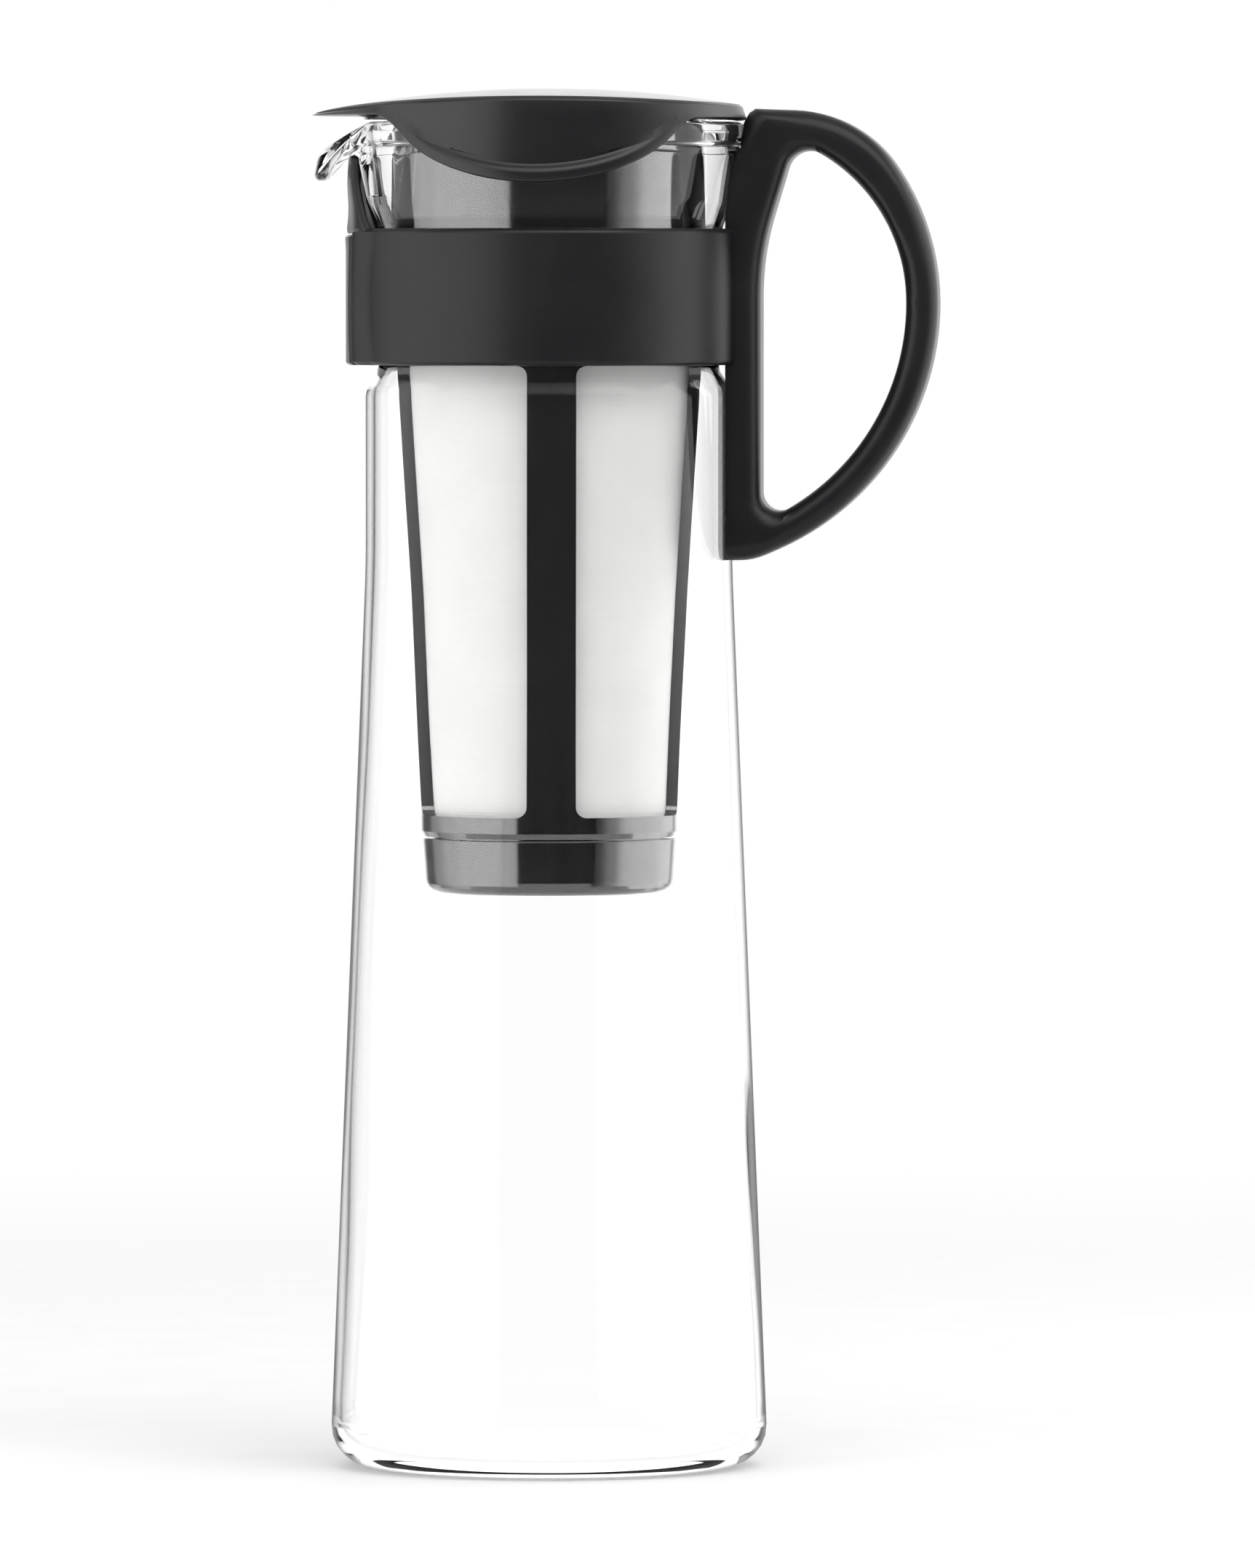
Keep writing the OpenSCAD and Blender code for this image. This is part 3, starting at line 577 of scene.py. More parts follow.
# Glass jug: one outline turned about the axis, drawn out into the spout
def glass_outlines():
    """The jug's section, plain and at the spout, from the middle of its base to the middle of its floor."""
    punt_steps = 6
    punt_shares = [i / punt_steps for i in range(punt_steps + 1)]
    foot = [(punt_r * share, punt_h * (1 - share ** 2), 0) for share in punt_shares]
    outside = [
        (base_r, 0, heel_fillet),
        (barrel_r, taper_z, taper_fillet),
        (barrel_r, shoulder_z, shoulder_fillet),
        (waist_r, waist_z, waist_fillet),
        (waist_r, waist_top_z, flare_fillet),
        (neck_r, neck_z, neck_fillet)]
    bead = [
        (lip_r, bead_z - bead_foot, bead_fillet),
        (bead_r - bead_ease, bead_z, bead_fillet),
        (bead_r, rim_z - bead_h / 2, bead_side_fillet),
        (bead_r - bead_ease, rim_z - bead_ease, bead_fillet),
        (bead_r - bead_w / 2, rim_z, bead_fillet),
        (bead_in_r, rim_z - bead_foot, bead_fillet),
        (bead_in_r, rim_z - bead_blend, throat_fillet)]
    spout = [
        (lip_r, bead_z - spout_root_drop, spout_root_fillet),
        (spout_in_x - spout_under_in, spout_tip_z + spout_under_h, spout_under_fillet),
        (spout_in_x, spout_tip_z, spout_edge_fillet),
        (spout_reach, spout_tip_z, spout_edge_fillet),
        (spout_reach - spout_hook_in, spout_tip_z + spout_hook_h, throat_fillet),
        (bead_r - spout_crest_in, rim_z - spout_crest_drop, spout_crest_fillet),
        (bead_in_r - throat_in, rim_z - bead_blend - bead_foot, throat_fillet)]
    inside = [
        (neck_r - wall, neck_z, neck_fillet),
        (waist_r - wall, waist_top_z, flare_fillet),
        (waist_r - wall, waist_z, waist_fillet),
        (barrel_r - wall, shoulder_z, shoulder_fillet),
        (barrel_r - wall, taper_z, taper_fillet),
        (base_r - wall_low, floor_t, floor_fillet),
        (0, floor_t, 0)]
    return rounded(foot + outside + bead + inside), rounded(foot + outside + spout + inside)


def jug_rows():
    """Both sections as pairs of points, none far from the next, without their ends on the axis."""
    longest = 4
    plain, spouted = glass_outlines()
    rows = []
    for a, a_next, b, b_next in zip(plain, plain[1:], spouted, spouted[1:]):
        parts = max(1, math.ceil(max((a_next - a).length, (b_next - b).length) / longest))
        rows += [(a.lerp(a_next, k / parts), b.lerp(b_next, k / parts)) for k in range(parts)]
    return rows[1:]


def jug_angles():
    """Directions round the jug from its spout, closer together across the spout."""
    spout_columns, plain_columns = 72, 168
    plain_span = 2 * math.pi - 2 * spout_half_a
    angles = [spout_half_a * (2 * i / spout_columns - 1) for i in range(spout_columns)]
    return angles + [spout_half_a + plain_span * i / plain_columns for i in range(plain_columns)]


def inner_wave(a, r, z):
    """How far the blown inside strays from round: least at the barrel's top and the middle of the floor."""
    wave_h, waves_round, wave_length = 0.25, 2.2, 45
    top_z, fade_h, fade_r = taper_z + 30, 120, 20
    wave = noise.noise(Vector((math.cos(a) * waves_round, math.sin(a) * waves_round, z / wave_length)))
    return wave_h * wave * clamped((top_z - z) / fade_h) * min(1, r / fade_r)


def glass_at(face):
    """Which glass a face of the jug is made of."""
    spout_margin, steep = 3, 0.35
    x, y, z = face.center / MM
    outward = face.normal.x * x + face.normal.y * y > 0
    if z > spout_tip_z - spout_margin and abs(math.atan2(y, -x)) < spout_half_a:
        return spout_glass
    if z < heel_fillet:
        if outward and math.hypot(x, y) > base_r - heel_fillet:
            return heel_glass
        return heel_inner_glass if face.normal.z > 0 else floor_glass
    if not outward or abs(face.normal.z) > steep:
        return inner_glass
    return outer_glass


def glass_jug():
    """The jug in one mesh, with a glass for each of its regions."""
    rows = jug_rows()
    angles = jug_angles()
    top = max(range(len(rows)), key=lambda k: rows[k][0].y)
    points = []
    for a in angles:
        share = math.cos(math.pi / 2 * a / spout_half_a) ** 2 if abs(a) < spout_half_a else 0
        for k, (plain, spouted) in enumerate(rows):
            r, z = plain.lerp(spouted, share)
            if k > top:
                r += inner_wave(a, r, z)
            points.append((-r * math.cos(a), -r * math.sin(a), z))
    points += [(0, 0, punt_h), (0, 0, floor_t)]
    faces = turned_faces(len(angles), len(rows))
    piece = mesh_piece("glass_jug", points, faces, outer_glass, "carafe", 60)
    for glass in jug_glasses[1:]:
        piece.data.materials.append(glass)
    for face in piece.data.polygons:
        face.material_index = jug_glasses.index(glass_at(face))
    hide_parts("glass_body")


# Band with collar tips and handle
def band_ring():
    """The ring round the waist, open at the front where the clasp's seat is."""
    hollow_r = band_r - band_t
    section = rounded([
        (band_in_r, band_z, 0),
        (band_r, band_z, band_fillet),
        (band_r, band_top_z, band_fillet),
        (band_top_in_r, band_top_z, 0),
        (band_in_r, band_top_z - band_lip_h, 0),
        (hollow_r, band_top_z - band_lip_h, 0),
        (hollow_r, band_z + band_lip_h, 0),
        (band_in_r, band_z + band_lip_h, 0)])
    half = math.asin(seat_half / band_r)
    columns = 160
    rings = []
    for i in range(columns + 1):
        a = math.pi + half + (2 * math.pi - 2 * half) * i / columns
        rings.append([(r * math.cos(a), r * math.sin(a), z) for r, z in section])
    return loft(rings, False)


def band_front(side):
    """Half of the ring's front: rail, seat for the clasp and the split, with the rim above."""
    split = split_w / 2
    inner = ring_arc(band_top_in_r, split, seat_half, 6)[::-1]
    seat = inner + ring_arc(band_r, split, rail_head_half, 6)
    seat += ring_arc(seat_r, rail_foot_half, seat_half, 6)
    ease = band_fillet / 3
    rim = []
    for z, drop in ((seat_top_z, 0), (band_top_z - ease, 0), (band_top_z, ease)):
        plan = inner + ring_arc(band_r - drop, split, seat_half, 10)
        rim.append([(x, y, z) for x, y in plan])
    parts = [prism(seat, band_z, seat_top_z), loft(rim, False)]
    return [([(x, side * y, z) for x, y, z in points], faces) for points, faces in parts]


def clasp_half_w(z):
    """Half the clasp's width at a height, drawn in along its sides."""
    half_length = (clasp_top_z - band_z) / 2
    off = min(1.0, abs(z - band_z - half_length) / (half_length - clasp_end))
    return clasp_half - clasp_scallop * (1 - off * off)


def shoulder_rise(y, z):
    """How far the band stands proud beside the clasp, so that the two are flush."""
    across = clamped((abs(y) - clasp_half_w(z) - clasp_gap) / shoulder_w)
    return (clasp_r - shoulder_drop - band_r) * (0.5 + 0.5 * math.cos(math.pi * across))


def shoulder(side):
    """The band's raised flank beside the clasp."""
    rows, columns, crowding = 40, 16, 1.5
    edge = shoulder_edge_fillet
    rings = []
    for i in range(rows + 1):
        z = band_z + hair + (band_top_z - band_z - 2 * hair) * i / rows
        ease = rounding(band_fillet, band_fillet - min(z - band_z, band_top_z - z))
        first = clasp_half_w(z) + clasp_gap
        outer = []
        for k in range(columns + 1):
            y = first + shoulder_w * (k / columns) ** crowding
            r = band_r + hair / 2 + shoulder_rise(y, z) - ease - rounding(edge, edge - (y - first))
            outer.append((-math.sqrt(r * r - y * y), side * y, z))
        inner_r = band_r - shoulder_sink - ease
        inner = [(-math.sqrt(inner_r ** 2 - y * y), y, z) for _, y, _ in reversed(outer)]
        rings.append(outer + inner)
    return loft(rings, False)


def tip_outlines():
    """A collar tip as seen from the front, and how it leans out above the band."""
    lean_r = band_r + tip_lean
    front = rounded([
        (split_w, band_top_z, 0),
        (notch_half, tip_top_z, tip_notch_fillet),
        (notch_half + tip_w, tip_top_z, tip_back_fillet),
        (notch_half + tip_w + tip_flank_w, band_top_z + tip_flank_share * tip_h, tip_flank_fillet),
        (tip_root_half, band_top_z, tip_root_fillet),
        (tip_root_half, band_top_z - tip_sink, 0)], 10)
    lean = rounded([
        (band_r - tip_set, band_top_z - tip_sink, 0),
        (lean_r, band_top_z + tip_lean_share * tip_h, tip_lean_fillet),
        (lean_r, tip_top_z, 0)], 12)
    return front, lean


def collar_tip(side):
    """One of the two tips that stand up beside the spout, leaning out over the band."""
    rows, steps, crowding = 36, 4, 1.6
    edge_share, blend_share = 0.45, 0.6
    front, lean = tip_outlines()
    rings = []
    for i in range(rows + 1):
        z = band_top_z - tip_sink + (tip_h + tip_sink) * (1 - (1 - i / rows) ** crowding)
        z = min(z, tip_top_z - hair / 2)
        crossings = level_crossings(front, z)
        low, high = (min(crossings), max(crossings)) if len(crossings) > 1 else (split_w, tip_root_half)
        r_out = min(level_crossings(lean, z), default=band_r + tip_lean)
        e = min(tip_edge_fillet, edge_share * (high - low))
        inset = rounding(tip_edge_fillet, tip_edge_fillet - (tip_top_z - z))
        blend = clamped(1 - (z - band_top_z) / (blend_share * tip_h)) ** 2
        outer_r, inner_r = r_out - e - inset, r_out - tip_t + e + inset
        centres = ((high - e, outer_r), (low + e, outer_r), (low + e, inner_r), (high - e, inner_r))
        ring = []
        for k, (centre_y, centre_r) in enumerate(centres):
            for j in range(steps + 1):
                t = math.pi / 2 * (k + j / steps)
                y, r = centre_y + e * math.cos(t), centre_r + e * math.sin(t)
                r += blend * shoulder_rise(y, band_top_z)
                ring.append((-math.sqrt(r * r - y * y), side * y, z))
        rings.append(ring)
    return loft(rings, False)


def handle_opening():
    """Outline of the finger opening, from its lower corner at the bar."""
    low_z = grip_z - grip_low_r * math.tan(grip_turn / 2)
    up_z = grip_z + grip_up_r * math.tan(grip_turn / 2)
    top_z = up_z + (finger_gap - bar_lean) / math.tan(grip_turn)
    foot = Vector((bar_x, low_z - finger_gap / math.tan(grip_turn)))
    low = Vector((opening_x, low_z))
    up = Vector((opening_x, up_z))
    top = Vector((bar_x + bar_lean, top_z))
    lean = Vector((bar_x, top_z - bar_lean_h))
    line = corner(lean, foot, low, opening_foot_fillet, foot_steps)
    line += corner(foot, low, up, grip_low_r, arc_steps)
    line += corner(low, up, top, grip_up_r, low_steps + crown_steps + 1)
    line += corner(up, top, lean, opening_top_fillet, top_steps)
    return line + corner(top, lean, foot, bar_lean_fillet, lean_steps)


def handle_outside(opening):
    """Outline of the handle's outside, matched to the opening point for point."""
    low = Vector((reach_x, grip_z - grip_out_r * math.tan(out_turn / 2)))
    foot = Vector((reach_x - (low.y - foot_z) * math.tan(out_turn), foot_z))
    up = Vector((reach_x, grip_z + crown_low_r * math.tan(crown_turn / 2)))
    crown_len = crown_low_r * math.tan(crown_turn / 2) + crown_r * math.tan((math.pi / 2 - crown_turn) / 2)
    crown = up + crown_len * Vector((-math.sin(crown_turn), math.cos(crown_turn)))
    bar_top = Vector((lid_r + lid_handle_gap, crown.y + crown_rise))
    root_top = Vector((root_x, bar_top.y - bar_slant * (bar_top.x - root_x)))
    root_foot = Vector((root_x, foot_z))
    grip = corner(foot, low, up, grip_out_r, arc_steps)
    grip += corner(low, up, crown, crown_low_r, low_steps)
    grip += corner(up, crown, bar_top, crown_r, crown_steps)
    foot_line = [root_foot + Vector((0, foot_rise)), root_foot]
    foot_line += corner(root_foot, foot, low, foot_fillet, foot_fillet_steps)
    foot_line += [foot.lerp(grip[0], foot_share)]
    top_line = [(grip[-1] + bar_top) / 2, bar_top + Vector((top_ease, 0))]
    top_line += [bar_top.lerp(root_top, share) for share in slant_shares]
    line = stepped(foot_line, foot_steps) + grip + stepped(top_line, top_steps)
    return line + [Vector((root_x, p.y)) for p in opening[len(line):]]


def handle_clear_x(y, z):
    """How near the axis the handle may come, so that it clears the glass."""
    notch_z = bead_z - notch_drop
    r = barrel_r + band_gap
    if z > notch_z:
        r = bead_r + band_gap
    elif z > neck_z:
        r += (lip_r - barrel_r) * (z - neck_z) / (notch_z - neck_z)
    beyond_flat = 0 if abs(y) <= handle_w / 2 - handle_fillet else y
    return math.sqrt(r * r - beyond_flat ** 2)


def handle():
    """The handle as rings from its opening to its outside, with their corners rounded."""
    steps, edge_share = 6, 0.45
    opening = handle_opening()
    rings = []
    for a, b in zip(opening, handle_outside(opening)):
        across = b - a
        d = across.normalized()
        r = min(handle_fillet, edge_share * across.length)
        flat = handle_w / 2 - r
        ring = []
        for k in range(4):
            for j in range(steps + 1):
                t = math.pi / 2 * (k + j / steps)
                along = (across.length - r if k in (0, 3) else r) + r * math.cos(t)
                y = (flat if k < 2 else -flat) + r * math.sin(t)
                x, z = a + d * along
                ring.append((max(x, handle_clear_x(y, z)), y, z))
        rings.append(ring)
    return loft(rings[::-1], True)


def handle_band():
    """Ring, handle, collar tips and raised flanks as one moulding."""
    parts = [band_ring(), handle()]
    for side in (-1, 1):
        parts += band_front(side)
        parts += [collar_tip(side), shoulder(side)]
    points, faces = joined(parts)
    piece = mesh_piece("band_and_handle", points, faces, band_plastic, "carafe", 35)
    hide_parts("handle_band")


# Clasp
def clasp_face():
    """The clasp's plate, with rounded edges and a low finger ridge at its upper end."""
    rows, columns, crowding = 60, 28, 1.6
    edge = clasp_edge_fillet
    inner_r = band_r + clasp_gap
    rings = []
    for i in range(rows + 1):
        z = band_z + (clasp_top_z - band_z) * i / rows
        ridge = ridge_t * math.sin(math.pi / 2 * max(0.0, 1 - (clasp_top_z - z) / ridge_h)) ** 2
        crest = clasp_r + ridge - rounding(edge, edge - min(z - band_z, clasp_top_z - z))
        half = clasp_half_w(z)
        outer = []
        for k in range(columns + 1):
            t = 2 * k / columns - 1
            y = half * math.copysign(1 - (1 - abs(t)) ** crowding, t)
            r = crest - rounding(edge, abs(y) - half + edge)
            outer.append((-math.sqrt(r * r - y * y), y, z))
        inner = [(-math.sqrt(inner_r ** 2 - y * y), y, z) for _, y, _ in reversed(outer)]
        rings.append(outer + inner)
    return loft(rings, False)


def clasp_strips():
    """The two strips by which the clasp hooks over the rails."""
    strip_r = seat_r + clasp_gap
    strip_half = seat_half * strip_r / band_r - clasp_gap
    plan = ring_arc(strip_r, rail_foot_half + clasp_gap, strip_half, 4)
    plan += ring_arc(band_r + 2 * clasp_gap, strip_half, rail_head_half + 2 * clasp_gap, 4)
    points, faces = prism(plan, band_z, clasp_top_z)
    return [(points, faces), ([(x, -y, z) for x, y, z in points], [face[::-1] for face in faces])]


def clasp():
    """The plate that closes the band, with its strips."""
    points, faces = joined([clasp_face()] + clasp_strips())
    piece = mesh_piece("clasp_plate", points, faces, band_plastic, "clasp", 40)
    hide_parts("band_clasp")


# Lid
def crown_z(r, a):
    """Height of the lid's crown at a distance and direction from the axis."""
    fall = math.cos(a) ** 2 / crown_long_r + math.sin(a) ** 2 / crown_cross_r
    return lid_top_z - fall * r * r / 2


def tab_foot_z(x):
    """Height of a side tab's edge: its bow, and the run out along the rim at each end."""
    bow_x = tab_half * math.sin(tab_bow_a)
    bow_z = lid_foot_z - tab_bow_h * math.cos(tab_bow_a) ** tab_roundness
    x = abs(x)
    if x <= bow_x:
        return lid_foot_z - tab_bow_h * math.cos(math.asin(x / tab_half)) ** tab_roundness
    steepness = tab_roundness * math.cos(tab_bow_a) ** (tab_roundness - 1) * math.tan(tab_bow_a)
    turn_x = bow_x + (bill_z - bow_z) * tab_half / (steepness * tab_bow_h)
    end_x = tab_half + tab_tail
    if x >= end_x:
        return bill_z
    square, slope, rest = bow_x - 2 * turn_x + end_x, 2 * (turn_x - bow_x), bow_x - x
    t = (-slope + math.sqrt(slope * slope - 4 * square * rest)) / (2 * square)
    return bow_z + (bill_z - bow_z) * (2 * t - t * t)


def lid_front_r(a):
    """How far the lid reaches to the front, where the bill is drawn out of the round of its tabs."""
    tip_x = bill_reach - bill_tip_r
    lean = math.acos((tab_r - bill_tip_r) / tip_x)
    off = abs(math.pi - a)
    if off >= lean:
        return tab_r
    corner_a = math.atan2(bill_tip_r * math.sin(lean), tip_x + bill_tip_r * math.cos(lean))
    if off <= corner_a:
        across = tip_x * math.sin(off)
        return tip_x * math.cos(off) + math.sqrt(bill_tip_r ** 2 - across ** 2)
    return tab_r / math.cos(off - lean)


def lid_back_r(a):
    """How far the lid reaches towards the handle: drawn in from its tabs to clear the handle."""
    off = min(a, 2 * math.pi - a)
    share = clamped((off - back_from_a) / (back_to_a - back_from_a))
    back_r = lid_r - rim_slope
    return back_r + (tab_r - back_r) * (0.5 - 0.5 * math.cos(math.pi * share))


def lid_edge(a):
    """The lid's edge in a direction: its reach, the height of its foot, its thickness and its flare."""
    flare_from, flare_gain = 0.3, 1.8
    x = tab_r * math.cos(a)
    if x < 0:
        reach, foot, thickness = lid_front_r(a), bill_z, bill_t
    else:
        reach, foot, thickness = lid_back_r(a), lid_foot_z, lid_rim_t
    flare = 0.0
    if abs(x) < tab_half + tab_tail:
        thickness = tab_t
        foot = min(foot, tab_foot_z(x))
        flare = clamped(((lid_foot_z - foot) / tab_bow_h - flare_from) * flare_gain)
    return reach, foot, thickness, flare


def lid_crown_line(a, edge_r, fillet):
    """The section's crown from the axis outwards, with its rounded edge."""
    crown_parts, edge_parts, edge_height = 14, 5, 0.9
    line = []
    for i in range(1, crown_parts + 1):
        r = (edge_r - fillet) * math.sqrt(i / crown_parts)
        line.append((r, crown_z(r, a)))
    side_top = crown_z(edge_r, a) - fillet
    for i in range(1, edge_parts + 1):
        t = math.pi / 2 * i / edge_parts
        line.append((edge_r - fillet * (1 - math.sin(t)), side_top + fillet * math.cos(t) * edge_height))
    return line


def lid_side_line(edge_r, side_foot, drop, flare):
    """The section's side from the crown down, creased where a tab flares out along its edge."""
    least_tab_drop, plain_share = 5, 0.2
    tabbed = drop >= least_tab_drop
    heights = [drop * (1 - share) for share in (0.2, 0.4, 0.6, 0.75)]
    if tabbed:
        heights += [tab_crease_h + above for above in (0.6, 0.12, 0)]
    else:
        heights += [drop * plain_share - hair / 2 * k for k in range(3)]
    heights += [heights[-1] * share for share in (0.86, 0.74, 0.64, 0.4, 0.0)]
    line = []
    for h in heights:
        share = clamped((tab_crease_h - h) / (tab_crease_h - tab_ridge_h)) if tabbed else 1.0
        slope = rim_slope * (1 - h / drop)
        line.append((edge_r + flare * share + slope * (1 - min(1, flare)), side_foot + h))
    return line


def half_round(outer_r, z, thickness, depth, shares):
    """The rounded foot of a wall, from its outer side to its inner one."""
    half = thickness / 2
    turns = [math.pi * share for share in shares]
    return [(outer_r - half + half * math.cos(t), z - depth * math.sin(t)) for t in turns]


def lid_under_line(a, edge_r, edge_z, thickness):
    """The section's underside from its edge inwards: shelf, ledge over the flange, and plug ring."""
    middle_r = 8
    shelf_z = max(edge_z, lid_foot_z) + hair
    line = [(max(lid_in_r + hair, edge_r - thickness), shelf_z), (lid_in_r, shelf_z + hair)]
    line += [(lid_in_r, lid_seat_z), (ledge_in_r, lid_seat_z)]
    line += [(r, crown_z(r, a) - lid_t) for r in (ledge_in_r, plug_r)]
    line += half_round(plug_r, plug_foot_z + plug_fillet, plug_t, plug_fillet, [i / 4 for i in range(5)])
    return line + [(r, crown_z(r, a) - lid_t) for r in (plug_r - plug_t, middle_r)]


def lid_section(a, edge_r, edge_z, thickness, flare):
    """The lid's section in one direction, from the middle of its top to the middle of its underside."""
    fillet_share = 0.35
    height = crown_z(edge_r, a) - edge_z
    top_fillet = min(lid_top_fillet, fillet_share * height)
    foot_fillet = min(lid_foot_fillet, fillet_share * height)
    side_foot = edge_z + foot_fillet
    drop = crown_z(edge_r, a) - top_fillet - side_foot
    line = lid_crown_line(a, edge_r, top_fillet) + lid_side_line(edge_r, side_foot, drop, flare)
    line += half_round(line[-1][0], side_foot, thickness, foot_fillet, [i / 8 for i in range(1, 9)])
    return line + lid_under_line(a, edge_r, edge_z, thickness)


def lid():
    """The lid's sections set round the axis, with edges that blend from each to the next."""
    columns, foot_blend, edge_blend = 360, 2, 8
    angles = [2 * math.pi * i / columns for i in range(columns)]
    reaches, feet, thicknesses, flares = zip(*[lid_edge(a) for a in angles])
    feet = smoothed(feet, foot_blend)
    reaches, thicknesses, flares = [smoothed(v, edge_blend) for v in (reaches, thicknesses, flares)]
    points = []
    for a, *edge in zip(angles, reaches, feet, thicknesses, flares):
        points += [(r * math.cos(a), r * math.sin(a), z) for r, z in lid_section(a, *edge)]
    rows = len(points) // columns
    points += [(0, 0, lid_top_z), (0, 0, lid_top_z - lid_t)]
    faces = [face[::-1] for face in turned_faces(columns, rows)]
    piece = mesh_piece("lid_cap", points, faces, lid_plastic, "lid", 50)
    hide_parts("lid")


# The pieces whose solids serve as they are
def dress(name, material, edge):
    """Gives a solid its material, and breaks its edges by a small bevel."""
    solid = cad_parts[name]
    solid.data.materials.clear()
    solid.data.materials.append(material)
    if edge:
        bevel = solid.modifiers.new("broken_edges", "BEVEL")
        bevel.width = edge * MM
        bevel.segments = 2
        bevel.limit_method = "ANGLE"
        bevel.angle_limit = math.radians(40)
        bevel.harden_normals = True


glass_jug()
handle_band()
clasp()
lid()
dress("strainer_frame", frame_plastic, edge=0.25)
dress("strainer_base_cap", frame_plastic, edge=0)
for panel in ("mesh_front_left", "mesh_front_right", "mesh_rear_left", "mesh_rear_right"):
    dress(panel, filter_weave, edge=0)


# Studio, in metres: a pale floor, a white surround, a tall softbox on each side and one high in front
def stage_mesh(name, points, faces, material):
    """A mesh of the studio, which isn't part of the object."""
    mesh = bpy.data.meshes.new(name)
    mesh.from_pydata(points, [], faces)
    mesh.shade_smooth()
    mesh.materials.append(material)
    made = bpy.data.objects.new(name, mesh)
    bpy.context.scene.collection.objects.link(made)
    return made


def seen_straight(tree, ends):
    """One for rays that come from the camera straight or through glass alone, and zero for the rest.

    A ray's depth counts its bounces and, on the surround alone, its end: there ends is 1, elsewhere 0.
    """
    path = tree.nodes.new("ShaderNodeLightPath")
    turns = combined(tree, "SUBTRACT", path.outputs["Ray Depth"], path.outputs["Transmission Depth"])
    straight = tree.nodes.new("ShaderNodeMath")
    straight.operation = "LESS_THAN"
    straight.inputs[1].default_value = ends + 0.5
    tree.links.new(turns, straight.inputs[0])
    return straight.outputs[0]


def floor_material():
    """A pale floor that keeps the object's shadow and fades into the white surround."""
    material, tree, shader = new_material("studio_floor")
    set_inputs(shader, {"Roughness": 0.7, "Specular IOR Level": 0.1})
    colour = ramp(tree, grain(tree, 40, 3), ((0.3, grey(0.73)), (0.7, grey(0.75))))
    tree.links.new(colour, shader.inputs["Base Color"])
    white = node(tree, "ShaderNodeEmission", Color=(1, 1, 1, 1), Strength=1.0)
    far = tree.nodes.new("ShaderNodeVectorMath")
    far.operation = "LENGTH"
    tree.links.new(place(tree, "Object"), far.inputs[0])
    fade = mapped(tree, far.outputs["Value"], (0.3, 1.1), (0, 1), "SMOOTHSTEP")
    path = tree.nodes.new("ShaderNodeLightPath")
    seen = combined(tree, "MAXIMUM", path.outputs["Is Camera Ray"], path.outputs["Is Transmission Ray"])
    shown = combined(tree, "MULTIPLY", fade, seen)
    surface = mixed(tree, shown, shader.outputs["BSDF"], white.outputs["Emission"])
    tree.links.new(surface, tree.nodes["Material Output"].inputs["Surface"])
    return material


def floor():
    """A round floor just under the object, left out of what gloss and glass show."""
    reach, low, steps = 1.25, -0.0002, 96
    turns = [2 * math.pi * i / steps for i in range(steps)]
    ring = [(reach * math.cos(a), reach * math.sin(a), low) for a in turns]
    made = stage_mesh("studio_floor", ring, [tuple(range(steps))], floor_material())
    made.visible_glossy = False
    made.visible_transmission = False


def softbox_material(name, stops, strength):
    """A light by stops of (share of the panel's width, level), which isn't seen itself."""
    material = bpy.data.materials.new(name)
    material.use_nodes = True
    tree = material.node_tree
    tree.nodes.clear()
    across = tree.nodes.new("ShaderNodeUVMap")
    across.uv_map = "across"
    share = axis_of(tree, across.outputs["UV"], "X")
    profile = ramp(tree, share, [(position, grey(level)) for position, level in stops], "EASE")
    light = node(tree, "ShaderNodeEmission", Strength=strength)
    tree.links.new(profile, light.inputs["Color"])
    unseen = tree.nodes.new("ShaderNodeBsdfTransparent")
    surface = mixed(tree, seen_straight(tree, 0), light.outputs["Emission"], unseen.outputs["BSDF"])
    out = tree.nodes.new("ShaderNodeOutputMaterial")
    tree.links.new(surface, out.inputs["Surface"])
    return material


def softbox(name, levels, strength, low, high):
    """A curved panel of light round the object, by levels of (degrees from the camera's side, level)."""
    radius, steps = 1.2, 48
    first, last = levels[0][0], levels[-1][0]
    stops = [((degrees - first) / (last - first), level) for degrees, level in levels]
    points = []
    for i in range(steps + 1):
        a = math.radians(first + (last - first) * i / steps)
        points += [(radius * math.sin(a), -radius * math.cos(a), z) for z in (low, high)]
    faces = [(2 * i, 2 * i + 1, 2 * i + 3, 2 * i + 2) for i in range(steps)]
    made = stage_mesh(name, points, faces, softbox_material(name, stops, strength))
    across = made.data.uv_layers.new(name="across")
    for loop in made.data.loops:
        across.data[loop.index].uv = (loop.vertex_index // 2 / steps, loop.vertex_index % 2)
    made.visible_camera = False
    made.visible_shadow = False


def room(tree):
    """What lights the object: dim at the camera's side, white behind, and pale above and below."""
    towards = place(tree, "Generated")
    behind = mapped(tree, axis_of(tree, towards, "Y"), (0.8, 0.94), (0.05, 1.5), "SMOOTHSTEP")
    above = mapped(tree, axis_of(tree, towards, "Z"), (0.26, 0.48), (0.0, 0.7), "SMOOTHSTEP")
    below = mapped(tree, axis_of(tree, towards, "Z"), (-0.2, -0.32), (0.0, 0.95), "SMOOTHSTEP")
    level = combined(tree, "MAXIMUM", combined(tree, "MAXIMUM", behind, above), below)
    light = node(tree, "ShaderNodeBackground", Color=(1, 1, 1, 1))
    tree.links.new(level, light.inputs["Strength"])
    return light.outputs["Background"]


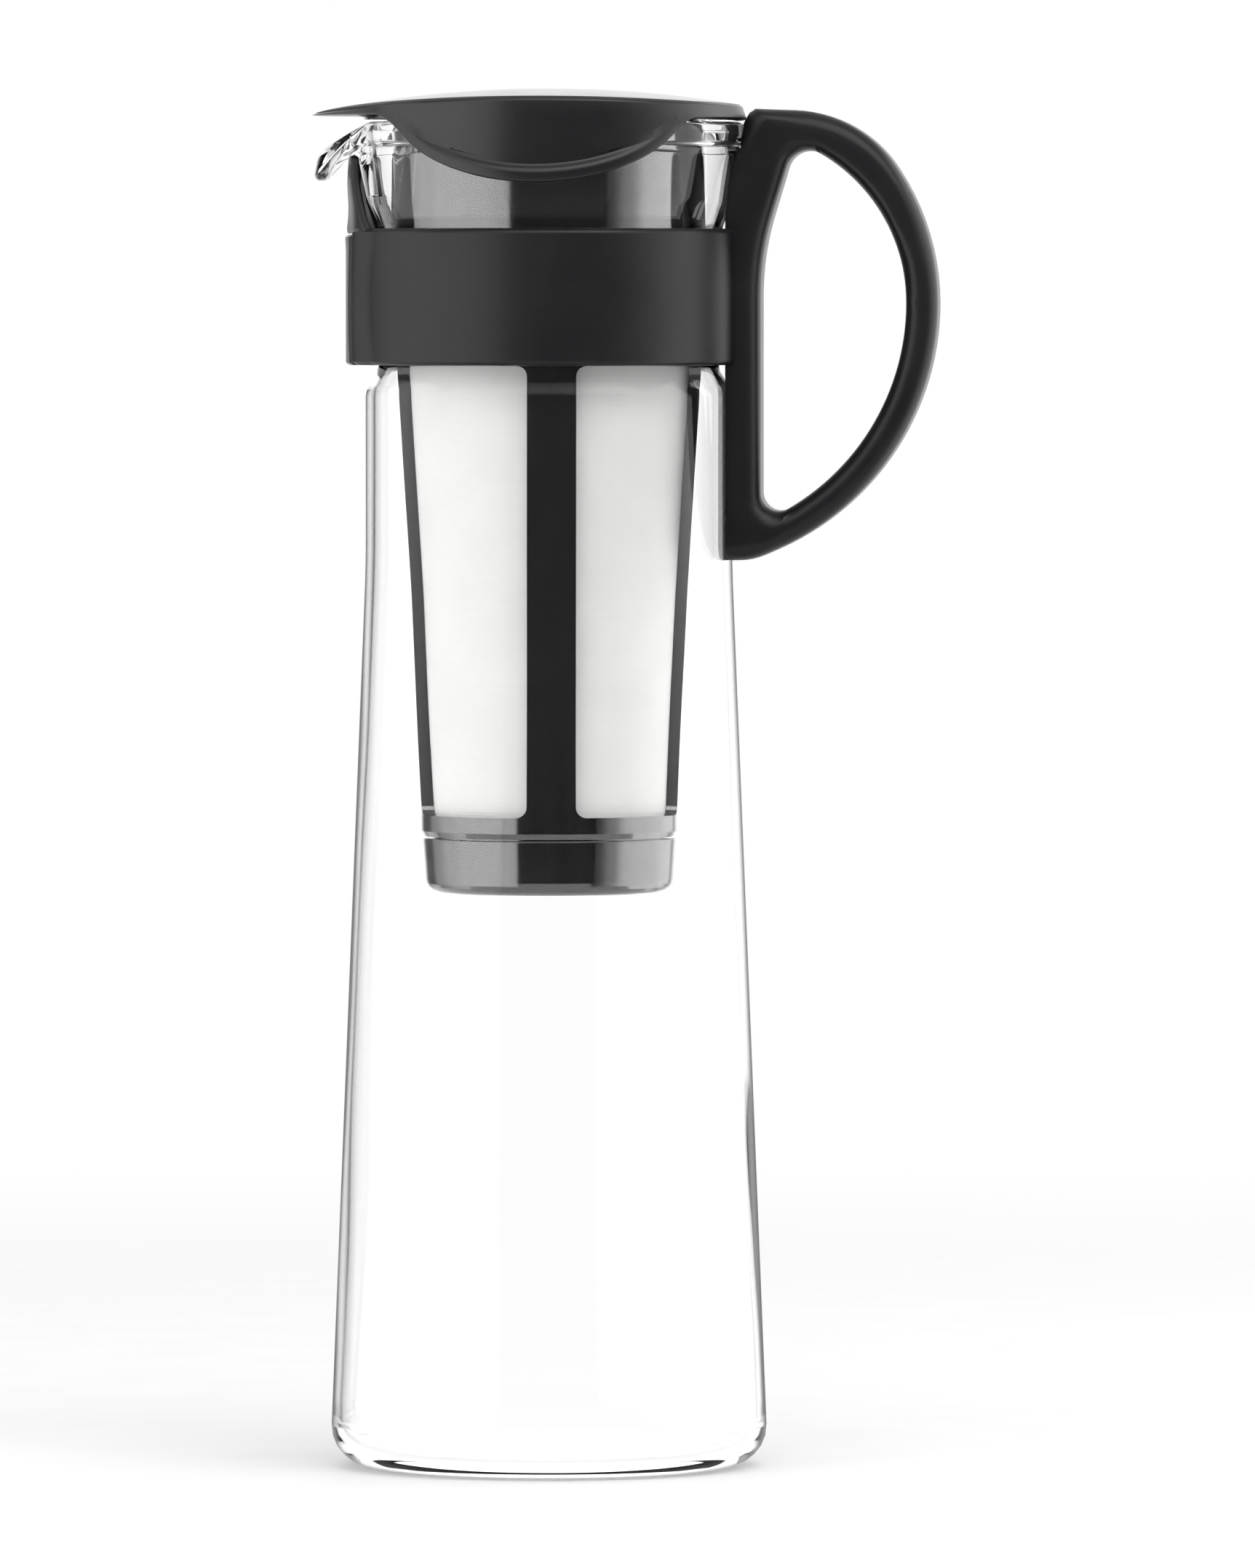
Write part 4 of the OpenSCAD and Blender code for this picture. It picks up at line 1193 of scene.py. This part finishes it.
def surround():
    """White where it is seen straight or through glass, and the room for all that it lights."""
    world = bpy.data.worlds.new("surround")
    world.use_nodes = True
    bpy.context.scene.world = world
    tree = world.node_tree
    tree.nodes.clear()
    white = node(tree, "ShaderNodeBackground", Color=(1, 1, 1, 1), Strength=1.0)
    surface = mixed(tree, seen_straight(tree, 1), room(tree), white.outputs["Background"])
    out = tree.nodes.new("ShaderNodeOutputWorld")
    tree.links.new(surface, out.inputs["Surface"])


left_levels = (
    (-128, 0.1), (-119, 0.28), (-96, 0.68), (-78, 0.92), (-62, 1.0), (-47, 1.0), (-31, 0.88), (-26, 0.82),
    (-22, 0.0))
right_levels = (
    (44, 0.0), (48, 0.1), (63, 0.43), (79, 1.0), (98, 1.0), (124, 0.85), (140, 0.65), (150, 0.2))
top_levels = ((-80, 0.0), (-55, 0.3), (0, 0.72), (55, 1.0), (80, 0.0))
floor()
surround()
softbox("softbox_left", left_levels, strength=2.7, low=-0.8, high=1.1)
softbox("softbox_right", right_levels, strength=2.8, low=-0.8, high=1.1)
softbox("softbox_top", top_levels, strength=4.2, low=0.7, high=3.0)


# Camera: a long lens a little above the band, as in the photograph
def camera():
    """Looks at the middle of the object, which lies to the right of the jug's axis."""
    focal_px, long_px, sensor_mm = 20000.0, 2156.0, 36.0
    azimuth, pitch, distance = math.radians(3.7), math.radians(1.94), 3.17
    aim_z, aim_right = 148.5 * MM, 17.1 * MM
    data = bpy.data.cameras.new("camera")
    data.sensor_width = sensor_mm
    data.lens = sensor_mm * focal_px / long_px
    data.clip_start, data.clip_end = 0.05, 100.0
    right = Vector((math.cos(azimuth), math.sin(azimuth), 0))
    back = Vector((
        math.sin(azimuth) * math.cos(pitch),
        -math.cos(azimuth) * math.cos(pitch),
        math.sin(pitch)))
    made = bpy.data.objects.new("camera", data)
    bpy.context.scene.collection.objects.link(made)
    made.location = Vector((0, 0, aim_z)) + right * aim_right + back * distance
    made.rotation_mode = "QUATERNION"
    made.rotation_quaternion = (-back).to_track_quat("-Z", "Y")
    bpy.context.scene.camera = made


camera()
bpy.context.scene.view_settings.view_transform = "Standard"
